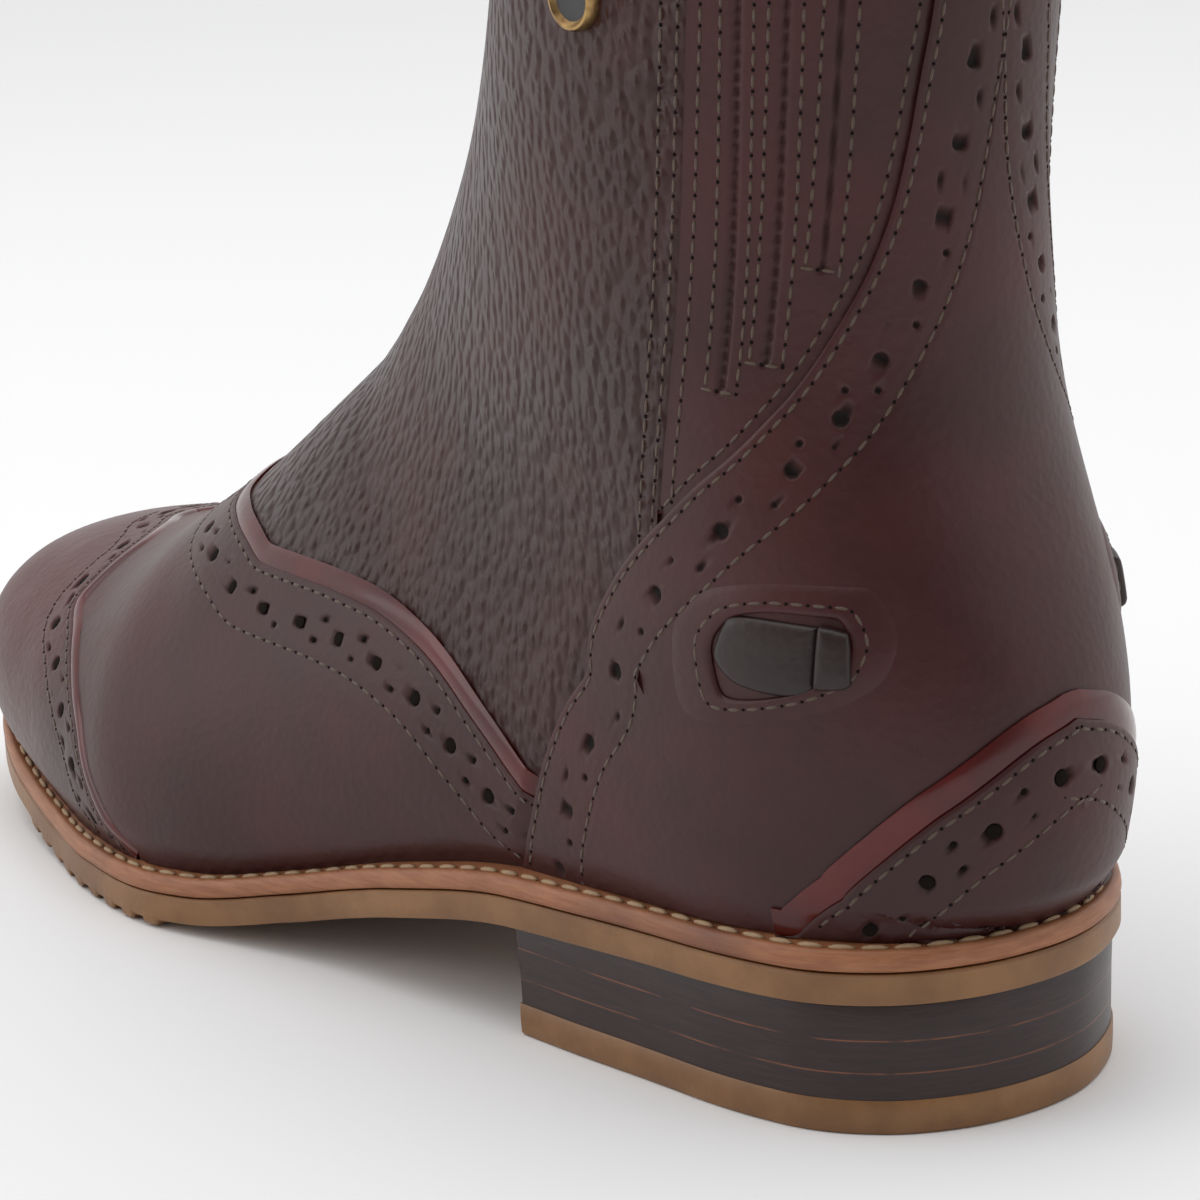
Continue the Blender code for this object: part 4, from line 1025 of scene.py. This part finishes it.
def side_line(table, count=90):
    """A line over the outer side, drawn smoothly through a table of places seen from the side."""
    table = np.array(table) / 1000
    if len(table) == 1:
        return [tuple(on_side(*table.T)[0])]
    knots = run_along(table)
    at = np.linspace(0, knots[-1], count)
    line = on_side(smooth(at, knots, table[:, 0]), smooth(at, knots, table[:, 1]))
    line[:, 1] = line[:, 1] * welt_place(line[:, 0])
    for _ in range(10):
        line[1:-1] = (line[:-2] + 2 * line[1:-1] + line[2:]) / 4
    return [tuple(place) for place in line]


def to_hem(line):
    """A line with its last point drawn down to the welt."""
    return line[:-1] + [(line[-1][0], float(welt_place(line[-1][0])))]


cap_edge = evenly(CAP_EDGE)
vamp_edge = evenly(list(VAMP_FRONT) + to_hem(side_line(VAMP_SIDE)))
quarter_edge = evenly(to_hem(side_line(QUARTER_SIDE)), 900)
panel_edge = evenly(side_line(PANEL_SIDE))
counter_edge = evenly([(18.74, 1.0), (18.60, 0.965)] + to_hem(side_line(COUNTER_SIDE)))

CAP_RISE, VAMP_RISE, QUARTER_RISE, COUNTER_RISE = 0.0024, 0.0020, 0.0020, 0.0031
GORE_RISE, PANEL_RISE, BAND_RISE = 0.0009, 0.0011, 0.0024
CAP_ROWS, VAMP_ROWS, QUARTER_ROWS, COUNTER_ROWS = (0.0013, 0.0080), (0.0013, 0.0113), (0.0013,
        0.0117), (0.0013, 0.0106)
LARGE_HOLE, SMALL_HOLE = 0.00118, 0.00050
LARGE_DEPTH, SMALL_DEPTH = 0.0008, 0.0006
THIN_WALL = 0.0006


def depths_across(hole_line, end, coarse=0.0009, fine=0.00028):
    """Distances from an edge, close together at the edge and where the holes lie."""
    out = list(np.arange(0, 0.0009, 0.0003))
    at = 0.0009
    while at < end:
        out.append(at)
        at += fine if abs(at - hole_line) < 0.0030 else coarse
    return np.array(out)


def worn_edge(depth, rows=()):
    """The fall of a cut edge and the pull of the stitch rows beside it."""
    fall = -0.00030 * np.exp(-(depth / 0.00030) ** 2)
    for row in rows:
        fall = fall - 0.00013 * np.exp(-((depth - row) / 0.0006) ** 2)
    return fall


hole_places = []


def hole_table(edge, hole_line, large, base, pair_reach=0.00185):
    """Large holes along a line beside an edge, with a pair of small ones between each two."""
    line = beside(edge, [hole_line])[0]
    hole_places.extend((pick(line, [at])[0], LARGE_HOLE, base) for at in large)
    holes = [(skin(*pick(line, [at]).T)[0][0], LARGE_HOLE, LARGE_DEPTH) for at in large]
    middles = (np.array(large)[1:] + np.array(large)[:-1]) / 2
    for reach in (-pair_reach, pair_reach):
        pair_line = beside(edge, [hole_line + reach])[0]
        holes += [(skin(*pick(pair_line, [at]).T)[0][0], SMALL_HOLE, SMALL_DEPTH) for at in middles]
        hole_places.extend((pick(pair_line, [at])[0], SMALL_HOLE, base) for at in middles)
    return holes


def columns_for(line, holes_at, total, coarse=0.0016, fine=0.00033):
    """Places along an edge, close together beside its holes."""
    middles = (np.array(holes_at)[1:] + np.array(holes_at)[:-1]) / 2
    out = [0.0]
    while out[-1] < total:
        near = np.abs(np.array(holes_at) - out[-1]).min() < 0.0021 or np.abs(middles
                - out[-1]).min() < 0.0012
        out.append(out[-1] + (fine if near else coarse))
    out[-1] = total
    return np.array(out)


def net_from_edge(edge, depths, stations, far=None, fill=0):
    """A net that starts with lines beside an edge and then runs out evenly to a far line."""
    index = stations / run_of(edge)[-1] * (len(edge) - 1)
    net = np.stack([spaced(index, np.arange(len(edge)), line) for line in beside(edge, depths)])
    if far is not None:
        goal = spaced(index, np.linspace(0, len(edge) - 1, len(far)), far)
        rest = net[-1] + (goal - net[-1]) * (np.arange(1, fill + 1) / fill)[:, None, None]
        net = np.concatenate([net, rest])
    past = (net[..., 1] > welt_place(net[..., 0])) & (net[..., 0] < CLOSING)
    if past.any():
        points = skin(*net[past].T)[0]
        net[past] = [whole_welt[np.argmin(((whole_welt_points - point) ** 2).sum(1))] for point in points]
    net[..., 1] = np.minimum(net[..., 1], welt_place(net[..., 0]))
    return net


def rise_of(net, depths, base, rows=(), holes=()):
    """The rise of a net above the skin from its edge's wear, stitch rows and holes, and the painted shade
    of its holes.
    """
    depth = np.concatenate([depths, np.full(len(net) - len(depths), depths[-1] + 0.01)])[:, None]
    rise = base + worn_edge(depth, rows) + np.zeros(net.shape[:2])
    drop, pit = punched(skin(net[..., 0], net[..., 1])[0], holes)
    return rise - drop, pit


def mirrored_piece(name, net, rise, pit, material, nodes, wall=SHEET_WALL):
    """A leather piece of two sheets, one a side."""
    shape = bmesh.new()
    add_sheet(shape, net, rise, pit)
    add_sheet(shape, mirrored(net), rise, pit)
    return leather_piece(name, shape, material, nodes, wall)


def perforated(edge, holes_at, hole_line, band, far, fill, base, rows, first_column, turned):
    """The net of a punched sheet from its edge in to a far line, its rise and the painted shade of its
    holes.
    """
    total = run_of(edge)[-1]
    depths = depths_across(hole_line, band)
    stations = columns_for(edge, holes_at, total)
    if turned:
        edge, holes_at, stations = edge[::-1], total - holes_at[::-1], total - stations[::-1]
    net = net_from_edge(edge, depths, stations, far, fill)
    if turned:
        net = net[:, ::-1]
    if first_column is not None:
        net[:, 0, 1] = first_column
    return (net,) + rise_of(net, depths, base, rows, hole_table(edge, hole_line, holes_at, base))


def strip_beside(edge, depths, count, bow, middle, reach):
    """The net of a narrow strip beside an edge, and how far it bows up between its sides."""
    depths = np.array(depths)
    net = net_from_edge(edge, depths, np.linspace(0, run_of(edge)[-1], count))
    return net, bow * np.clip(1 - ((depths - middle) / reach) ** 2, 0, 1)[:, None]


def back_from(edge, depth, levels):
    """The welt and the back's middle, from the given levels to where a line beside an edge meets the
    welt."""
    line = beside(edge, [depth])[0]
    met = (line[:, 1] > welt_place(line[:, 0])) & (line[:, 0] < CLOSING)
    return welt_line(levels + [line[np.argmax(met), 0]])


# The front panel: tumbled leather from the vamp up to the collar, edged by two rows of stitching. Its front
# closure lies beyond what the photograph shows, so it is left plain. Its lower edge runs on under the
# quarter and the vamp.
def behind_quarter(net):
    """How far points of a net lie behind the quarter's front edge, as seen from the side."""
    points = skin(net[..., 0], np.abs(net[..., 1]))[0]
    return np.interp(points[..., 2], [row[1] / 1000 for row in QUARTER_SIDE[::-1]],
                     [row[0] / 1000 for row in QUARTER_SIDE[::-1]]) - points[..., 0]


SLIP_START, SLIP_REACH = 0.0030, 0.0034


def under_quarter(net, rise, under=0.0007):
    """The rise of a piece that slips under the quarter's front edge."""
    return rise + (under - rise) * ease((behind_quarter(net) + SLIP_START) / SLIP_REACH)


PANEL_MEETS = 18.0
panel_levels = np.linspace(8.4, COLLAR, 150)
over_edge = np.interp(panel_levels, panel_edge[::-1, 0], panel_edge[::-1, 1])
below_edge = np.interp(panel_levels, quarter_edge[::-1, 0], quarter_edge[::-1, 1]) + 0.07
meets = ease((panel_levels - PANEL_MEETS + 0.6) / 0.8)
panel_reach = np.minimum(below_edge + (over_edge - below_edge) * meets, 0.97 * welt_place(panel_levels))
panel_share = np.concatenate([[-1, -0.996, -0.985], np.linspace(-0.95, 0.95, 90), [0.985, 0.996, 1]])
panel_net = np.stack([np.repeat(panel_levels[:, None], len(panel_share), 1),
                      panel_reach[:, None] * panel_share], 2)
panel_rise = PANEL_RISE - 0.00025 * (np.abs(panel_share) > 0.999)[None, :] + np.zeros(panel_net.shape[:2])
low_part = 1 - ease((panel_levels - PANEL_MEETS + 0.3) / 0.5)[:, None]
panel_rise = panel_rise + (under_quarter(panel_net, panel_rise, 0.0004) - panel_rise) * low_part
panel_shape = bmesh.new()
add_sheet(panel_shape, panel_net, panel_rise)
leather_piece("front_panel", panel_shape, tumbled, [])


# The gores: the leather faced elastic between the panel and the quarter, slit three times and bound by
# stitching.
GORE_LENGTH = 0.118
gore_top = np.linspace(0, 1, 170)
gore_front = pick(panel_edge, gore_top * run_of(panel_edge)[-1])
gore_back = pick(quarter_edge, gore_top * GORE_LENGTH)
gore_share = np.linspace(-0.08, 1.12, 90)[None, :, None]
gore_net = gore_front[:, None] + (gore_back - gore_front)[:, None] * gore_share
SLITS = (((29.7, 158.4), (34.6, 105.1)), ((24.2, 158.4), (29.1, 108.8)), ((19.0, 158.1), (23.0, 122.1)))
SLIT_HALF, SLIT_DEPTH, SLIT_SHADE = 0.00045, 0.0006, 0.55
gore_points = skin(gore_net[..., 0], gore_net[..., 1])[0]
slit_lines = []
gore_drop, gore_slit_shade = np.zeros(gore_net.shape[:2]), np.zeros(gore_net.shape[:2])
for (top_x, top_z), (low_x, low_z) in SLITS:
    lean = (top_x - low_x) / (top_z - low_z)
    slit = evenly(side_line(((top_x + lean * 23, 181.4), (top_x, top_z),
                             ((top_x + low_x) / 2, (top_z + low_z) / 2), (low_x, low_z))), 240)
    slit_lines.append(slit)
    away = np.min(np.linalg.norm(gore_points[:, :, None] - skin(*slit.T)[0][None, None, ::3], axis=-1),
                  axis=2)
    gore_drop = np.maximum(gore_drop, SLIT_DEPTH * ease((SLIT_HALF + 0.0004 - away) / 0.0006))
    # Painted shade darkens each slit's groove.
    gore_slit_shade = np.maximum(gore_slit_shade, SLIT_SHADE * ease((SLIT_HALF + 0.0001 - away) / 0.0004))
mirrored_piece("gores", gore_net, GORE_RISE - gore_drop, gore_slit_shade, brown,
               ["gore_outer", "gore_inner"], THIN_WALL)


# The vamp: the perforated leather over the instep and ball, with a patent strip piped under its edge.
VAMP_HOLE_LINE, VAMP_BAND, HOLE_PITCH = 0.0066, 0.0128, 0.0104
vamp_holes_at = np.arange(run_of(vamp_edge)[-1] - 0.0035, -0.002, -HOLE_PITCH)[::-1]
vamp_net, vamp_rise, vamp_hole_shade = perforated(vamp_edge, vamp_holes_at, VAMP_HOLE_LINE, VAMP_BAND,
                                           cap_edge[::-1], 26, VAMP_RISE, VAMP_ROWS, 0.0, True)
vamp_rise = under_quarter(vamp_net, vamp_rise)
vamp_rise[-1] -= 0.0009
mirrored_piece("perforated_vamp", vamp_net, vamp_rise, vamp_hole_shade, brown, ["vamp"])


def noise_look(name, low, high, scale, detail, steps=None, ripple=None, **values):
    """A plain material: a noise blends its two colours, and a second one may raise its surface."""
    look = Look(name)
    cloud = look.noise(scale, detail)
    normal = None
    if ripple:
        normal = look.bump(look.noise(*ripple[:2]), *ripple[2:])
    return look.finish(look.blend(look.ramp(cloud, *steps) if steps else cloud, low, high), normal,
                       **values)


patent = noise_look("burgundy_patent", (0.060, 0.0035, 0.0024), (0.105, 0.0062, 0.0042), 60.0, 5.0,
                    (0.35, 0.7), (320.0, 2.0, 0.25, 0.0003), Roughness=0.24, Coat_Weight=0.35,
                    Specular_IOR_Level=0.30, Coat_Roughness=0.08)
VAMP_STRIP = (-0.0006, -0.0001, 0.0004, 0.0011, 0.0018, 0.0025, 0.0030, 0.0033, 0.0035)
vamp_strip, strip_bow = strip_beside(vamp_edge, VAMP_STRIP, 260, 0.0004, 0.0016, 0.0019)
vamp_strip[:, 0, 1] = 0.0
mirrored_piece("vamp_piping_strip", vamp_strip, under_quarter(vamp_strip, 0.0015 + strip_bow, 0.0004), None,
               patent, ["vamp_piping"], THIN_WALL)


# The toe cap: brown leather over the toe, perforated beside its edge, which is piped with a patent strip.
CAP_HOLE_LINE, CAP_BAND = 0.0046, 0.0088
cap_holes_at = np.arange(0.0, run_of(cap_edge)[-1] - 0.002, HOLE_PITCH)
toe_line = np.stack([np.full(60, 0.02), np.linspace(1, 0, 60)], 1)
cap_net, cap_rise, cap_hole_shade = perforated(cap_edge, cap_holes_at, CAP_HOLE_LINE, CAP_BAND, toe_line, 30,
                                        CAP_RISE, CAP_ROWS, 0.0, True)
mirrored_piece("toe_cap_leather", cap_net, cap_rise, cap_hole_shade, brown, ["toe_cap"])
CAP_STRIP = (-0.0006, -0.0001, 0.0004, 0.0009, 0.0014, 0.0018, 0.0021, 0.0023)
cap_strip, cap_bow = strip_beside(cap_edge, CAP_STRIP, 150, 0.0006, 0.0009, 0.0014)
cap_strip[:, 0, 1] = 0.0
mirrored_piece("toe_piping_strip", cap_strip, 0.0019 + cap_bow, None, patent,
               ["toe_piping"], THIN_WALL)


# The quarter: one brown leather round the back of the heel, perforated along its front edges. Its soft
# creases are the brown leather's crease bump.
QUARTER_HOLE_LINE, QUARTER_BAND = 0.0072, 0.0126
PICTURE_TOP = 0.1575
QUARTER_HOLES = (-13.0, -2.4, 8.2, 19.4, 29.9, 39.8, 50.9, 60.3, 69.7, 82.9, 98.2, 114.4, 128.2, 141.2,
                 152.5)
quarter_run = run_of(quarter_edge)
quarter_top = quarter_run[np.argmin(np.abs(skin(*quarter_edge.T)[0][:, 2] - PICTURE_TOP))]
quarter_holes_at = quarter_top + np.array(QUARTER_HOLES) / 1000
quarter_holes_at = quarter_holes_at[(quarter_holes_at > 0.002)
                                    & (quarter_holes_at < quarter_run[-1] - 0.001)]
back_line = back_from(quarter_edge, depths_across(QUARTER_HOLE_LINE, QUARTER_BAND)[-1], [COLLAR, CLOSING])
quarter_net, quarter_rise, quarter_hole_shade = perforated(quarter_edge, quarter_holes_at, QUARTER_HOLE_LINE,
                                                    QUARTER_BAND, back_line, 46, QUARTER_RISE, QUARTER_ROWS,
                                                    None, False)
mirrored_piece("back_quarter", quarter_net, quarter_rise, quarter_hole_shade, brown, ["quarter"])


# The counter: a stiff brown leather cup round the heel, with a burgundy patent band along its upper edge.
COUNTER_HOLE_LINE, COUNTER_BAND, COUNTER_PITCH = 0.0060, 0.0120, 0.0112
counter_holes_at = np.arange(run_of(counter_edge)[-1] - 0.0035, 0.001, -COUNTER_PITCH)[::-1]
heel_line = back_from(counter_edge, depths_across(COUNTER_HOLE_LINE, COUNTER_BAND)[-1], [CLOSING])
counter_net, counter_rise, counter_hole_shade = perforated(counter_edge, counter_holes_at, COUNTER_HOLE_LINE,
                                                    COUNTER_BAND, heel_line, 22, COUNTER_RISE, COUNTER_ROWS,
                                                    1.0, False)
mirrored_piece("heel_counter", counter_net, counter_rise, counter_hole_shade, brown, ["counter"])
BAND_STRIP = (-0.0008, -0.0002, 0.0004, 0.0012, 0.0020, 0.0028, 0.0034, 0.0038, 0.0041)
band_net, band_bow = strip_beside(counter_edge[::-1], BAND_STRIP, 150, 0.0003, 0.0018, 0.0023)
band_net[:, -1, 1] = 1.0
mirrored_piece("counter_band", band_net, BAND_RISE + band_bow, None, patent, [],
               THIN_WALL)


# The spur rests, one a side: a padded black brown oval stitched down inside a ring of thread, with a keeper
# behind.
REST_RING = (Place(18.12, 0.655), Place(17.61, 0.677), Place(18.14, 0.745), Place(18.85, 0.810),
             Place(19.15, 0.818), Place(19.39, 0.805), Place(19.04, 0.723), Place(18.60, 0.673))
PAD_RING = (Place(18.16, 0.673), Place(18.64, 0.685), Place(19.10, 0.775), Place(18.49, 0.772),
            Place(18.01, 0.695))
KEEPER_RING = (Place(19.10, 0.775), Place(19.17, 0.802), Place(18.72, 0.805), Place(18.49, 0.772))


def closed_ring(places, count=72):
    """A smooth closed ring through places on the skin, given by its middle and the offsets from it."""
    ring = np.array(places)
    middle = ring.mean(0)
    turned = np.concatenate([ring[-2:], ring, ring[:3]])
    knots = np.arange(len(turned)) - 2.0
    at = np.linspace(0, len(ring), count, endpoint=False)
    return middle, np.stack([smooth(at, knots, column) for column in turned.T], 1)


def ring_net(places, shares, count=72):
    """Rings drawn in from a closed ring to its middle by shares, with the first column repeated to close
    them."""
    middle, ring = closed_ring(places, count)
    ring = np.append(ring, ring[:1], 0)
    return middle + (ring - middle) * np.array(shares)[:, None, None]


LIP_SHARES = (1.42, 1.32, 1.22, 1.12, 1.04, 0.96, 0.90, 0.85, 0.82, 0.81)
LIP_RISES = (-0.0003, 0.00015, 0.00035, 0.0005, 0.0006, 0.00068, 0.00070, 0.00064, 0.00045, 0.0002)
lip_net = ring_net(REST_RING, LIP_SHARES, 96)
lip_rise = QUARTER_RISE + np.array(LIP_RISES)[:, None] + np.zeros(lip_net.shape[:2])
mirrored_piece("spur_rest_window", lip_net, lip_rise, None, brown, [], 0.0005)
REST_SHARES = (1.0, 0.99, 0.96, 0.90, 0.8, 0.65, 0.45, 0.25, 0.0)
PAD_RISES = (0.0002, 0.0006, 0.0009, 0.0012, 0.0014, 0.0015, 0.0016, 0.0016, 0.0016)
pad_net = ring_net(PAD_RING, REST_SHARES)
pad_rise = QUARTER_RISE - 0.0004 + np.array(PAD_RISES)[:, None] + np.zeros(pad_net.shape[:2])
keeper_net = ring_net(KEEPER_RING, REST_SHARES)
keeper_rise = pad_rise[:, :1] + 0.0008 + np.zeros(keeper_net.shape[:2])
REST_PARTS = (("spur_rest", pad_net, pad_rise, "spur_pad_"),
              ("spur_catch", keeper_net, keeper_rise, "spur_keeper_"))
for side, word in ((1, "outer"), (-1, "inner")):
    for name, net, rise, node in REST_PARTS:
        shape = bmesh.new()
        add_sheet(shape, net * np.array([1, side]), rise)
        piece = leather_piece(name + "_" + word, shape, pad_black, [node + word], 0.0012)


# The badge: a plain round brass stud, domed at its rim, on the panel's outer side near the collar. Its
# marks are left off.
brass = noise_look("antique_brass", (0.42, 0.27, 0.11), (0.16, 0.09, 0.045), 420.0, 5.0, (0.4, 0.7),
                   Metallic=1.0, Roughness=0.34)
BADGE_AT = (54.8, 158.5)
badge_level, badge_around = side_line((BADGE_AT,))[0]
badge_foot, badge_lie = skin(badge_level, badge_around, PANEL_RISE)
badge_shape = bmesh.new()
ENAMEL_RADIUS = 0.0035
BADGE_PROFILE = ((0.0, 0.0009), (0.0033, 0.0009), (0.0036, 0.0011), (0.0040, 0.0016), (0.0044, 0.0015),
                 (0.00475, 0.0008), (0.00475, -0.0004))
badge_turn = Vector(badge_lie).to_track_quat("Z", "Y").to_matrix()
previous = [badge_shape.verts.new((radius, 0, up)) for radius, up in BADGE_PROFILE]
edges = [badge_shape.edges.new(pair) for pair in zip(previous, previous[1:])]
bmesh.ops.spin(badge_shape, geom=previous + edges, cent=(0, 0, 0), axis=(0, 0, 1), angle=2 * math.pi,
               steps=48, use_merge=True)
bmesh.ops.remove_doubles(badge_shape, verts=badge_shape.verts, dist=1e-6)
bmesh.ops.transform(badge_shape, matrix=Matrix.Translation(Vector(badge_foot)) @ badge_turn.to_4x4(),
                    verts=badge_shape.verts)
bmesh.ops.recalc_face_normals(badge_shape, faces=badge_shape.faces)
enamel = noise_look("dark_enamel", (0.020, 0.020, 0.022), (0.050, 0.048, 0.048), 1400.0, 3.0,
                    Roughness=0.45)
for face in badge_shape.faces:
    if (face.calc_center_median() - Vector(badge_foot)).length < ENAMEL_RADIUS:
        face.material_index = 1
finish_piece("brass_stud", badge_shape, [brass, enamel], ["badge"], 30)


# The sewing: brown thread in short raised stitches, each sunk at a stitch hole whose shade is painted
# as a dark bead, beside every edge, along the slits and round the spur rests.
thread = noise_look("brown_thread", (0.060, 0.036, 0.022), (0.105, 0.066, 0.040), 2600.0, 2.0,
                    ripple=(2600.0, 2.0, 0.5, 0.0001), Roughness=0.62, Sheen_Weight=0.2)
# Near-black painted shade for the stitch holes and the floors of the punched holes.
hole_shade_paint = noise_look("painted_hole_shade", (0.006, 0.004, 0.0035), (0.012, 0.008, 0.006), 900.0, 2.0, Roughness=0.9,
                    Specular_IOR_Level=0.1)
STITCH_PITCH = 0.0029
STITCH = (0.00100, 0.00026, 0.00018)
NEEDLE_SHADE = (0.00034, 0.00030, 0.00012)


def bead(rings, columns):
    """A small round mesh that every stitch of a kind copies."""
    shape = bmesh.new()
    bmesh.ops.create_uvsphere(shape, u_segments=columns, v_segments=rings, radius=1.0)
    mesh = bpy.data.meshes.new("bead")
    shape.to_mesh(mesh)
    shape.free()
    return mesh, np.array([tuple(vertex.co) for vertex in mesh.vertices])


THREAD_BEAD = bead(5, 8)
NEEDLE_SHADE_BEAD = bead(3, 6)


def set_beads(shape, kind, index, centres, ways, outs, sizes):
    """Copies a bead to every centre, drawn out along its way and pressed down on the leather."""
    mesh, corners = kind
    ways = ways / np.linalg.norm(ways, axis=1, keepdims=True)
    across = np.cross(outs, ways)
    across = across / np.linalg.norm(across, axis=1, keepdims=True)
    outs = np.cross(ways, across)
    places = (centres[:, None] + corners[None, :, :1] * ways[:, None] * sizes[0] + corners[None, :,
            1:2] * across[:, None] * sizes[1] + corners[None, :, 2:] * outs[:, None] * sizes[2]).reshape(-1,
            3)
    group = bmesh.new()
    for _ in range(len(centres)):
        group.from_mesh(mesh)
    for vertex, place in zip(group.verts, places):
        vertex.co = place
    for face in group.faces:
        face.material_index = index
    joined = bpy.data.meshes.new("beads")
    group.to_mesh(joined)
    group.free()
    shape.from_mesh(joined)
    bpy.data.meshes.remove(joined)


def sew(shape, line, rise, pitch=STITCH_PITCH):
    """A row of stitches, each with a dark bead of painted shade at its stitch hole, along a line over the
    skin, on both sides of the boot.
    """
    run = run_of(line)
    for side in (1, -1):
        # The second kind is a dark bead of painted shade at each stitch hole.
        for kind, sizes, start, index in ((THREAD_BEAD, STITCH, pitch * 0.5, 0),
                                          (NEEDLE_SHADE_BEAD, NEEDLE_SHADE, 0.0, 1)):
            at = np.arange(start, run[-1] + 1e-6, pitch)
            last, here, following = (spaced(np.clip(at + step, 0, run[-1]), run, line) * [1, side]
                                     for step in (-0.0004, 0.0, 0.0004))
            middle, lie = skin(*here.T, rise(here) if callable(rise) else rise)
            set_beads(shape, kind, index, middle, skin(*following.T)[0] - skin(*last.T)[0], lie, sizes)


def sewn_piece(name, rows):
    """One piece of sewing from a table of lines and the rises of the leather that they are sewn through."""
    shape = bmesh.new()
    for line, rise in rows:
        sew(shape, line, rise)
    finish_piece(name, shape, [thread, hole_shade_paint], [], 80)


def on_vamp(here):
    return under_quarter(here, np.full(len(here), VAMP_RISE - 0.00010))


GROOVE, HEM_CLEAR = 0.00008, 0.015
SLIT_ROW, GORE_ROWS, PANEL_ROWS = 0.0023, (0.0020, 0.0016), (0.0012, 0.0038)
GORE_FOOT, PANEL_FOOT = 18.2, 17.4


def above_hem(line):
    """The part of a line that lies above the welt."""
    return line[(line[:, 1] < welt_place(line[:, 0]) - HEM_CLEAR) | (line[:, 0] >= CLOSING)]


def ahead_of_quarter(line, clear=0.0006):
    return line[behind_quarter(line) < -clear]


for name, edge, depths, rise in (("vamp_sewing", vamp_edge[::-1], VAMP_ROWS, on_vamp),
                                 ("cap_sewing", cap_edge[::-1], CAP_ROWS, CAP_RISE - GROOVE),
                                 ("quarter_sewing", quarter_edge, QUARTER_ROWS, QUARTER_RISE - GROOVE),
                                 ("counter_sewing", counter_edge, COUNTER_ROWS, COUNTER_RISE - GROOVE)):
    rows = [above_hem(row) for row in beside(edge, depths)]
    if rise is on_vamp:
        rows = [ahead_of_quarter(row) for row in rows]
    sewn_piece(name, [(row, rise) for row in rows])
back_row = beside(quarter_edge[::-1], GORE_ROWS[1:])[0]
gore_rows = [ahead_of_quarter(beside(panel_edge, GORE_ROWS[:1])[0]), back_row[back_row[:, 0] > GORE_FOOT]]
for slit in slit_lines:
    ahead_row, behind_row = beside(slit, [SLIT_ROW])[0], beside(slit[::-1], [SLIT_ROW])[0]
    gore_rows += [ahead_row, behind_row, np.array([pick(ahead_row, [1.0])[0], pick(behind_row, [0.0])[0]])]
sewn_piece("gore_sewing", [(row, GORE_RISE) for row in gore_rows])
panel_rows = beside(panel_edge[::-1], PANEL_ROWS)
sewn_piece("panel_sewing", [(row[row[:, 0] > PANEL_FOOT], PANEL_RISE) for row in panel_rows])
ring_line = closed_ring(REST_RING, 160)[1]
sewn_piece("spur_rest_sewing", [(np.append(ring_line, ring_line[:1], 0), QUARTER_RISE + 0.0006)])


# The punched holes' painted shade: a dark disc sunk in every hole, which gives each hole its round outline.
HOLE_SHADE_BEAD = bead(4, 14)
HOLE_FLOOR = 0.00030
hole_shade_shape = bmesh.new()
for side in (1, -1):
    for reach in (LARGE_HOLE, SMALL_HOLE):
        spots = np.array([place for place, radius, base in hole_places if radius == reach]) * np.array([1,
                side])
        bases = np.array([base for place, radius, base in hole_places if radius == reach])
        keep = (spots[:, 0] >= CLOSING) | (np.abs(spots[:, 1]) < welt_place(spots[:, 0]) - HEM_CLEAR)
        spots, bases = spots[keep], bases[keep]
        keep = (behind_quarter(spots) < -0.0008) | (bases != VAMP_RISE)
        spots, bases = spots[keep], bases[keep]
        middle, lie = skin(*spots.T, bases - HOLE_FLOOR)
        set_beads(hole_shade_shape, HOLE_SHADE_BEAD, 0, middle, np.cross(lie, [0.0, 0.0, 1.0]), lie,
                  (reach * 0.92, reach * 0.92, 0.00016))
finish_piece("punched_holes", hole_shade_shape, [hole_shade_paint], [], 80)


# The welt's sewing: thick pale thread in a channel close to the upper.
cord = noise_look("waxed_cord", (0.30, 0.19, 0.10), (0.50, 0.34, 0.20), 1500.0, 3.0,
                  ripple=(1500.0, 3.0, 0.6, 0.0002), Roughness=0.58)
CORD_PITCH, CORD = 0.0046, (0.00205, 0.00055, 0.00052)
cord_line = np.stack(plan_loop(WELT_STITCH_IN, 1200), 1)
cord_run = run_along(cord_line)
cord_at = np.linspace(0, cord_run[-1], int(cord_run[-1] / CORD_PITCH), endpoint=False)


def in_channel(at):
    """Places in the stitches' channel at lengths round the welt."""
    places = spaced(at % cord_run[-1], cord_run, cord_line)
    return np.append(places, welt_top(places[:, :1]) - 0.00012, 1)


cord_shape = bmesh.new()
cord_ways = in_channel(cord_at + 0.0008) - in_channel(cord_at - 0.0008)
cord_outs = np.tile([0.0, 0.0, 1.0], (len(cord_at), 1))
set_beads(cord_shape, THREAD_BEAD, 0, in_channel(cord_at), cord_ways, cord_outs, CORD)
finish_piece("welt_sewing", cord_shape, [cord], [], 80)
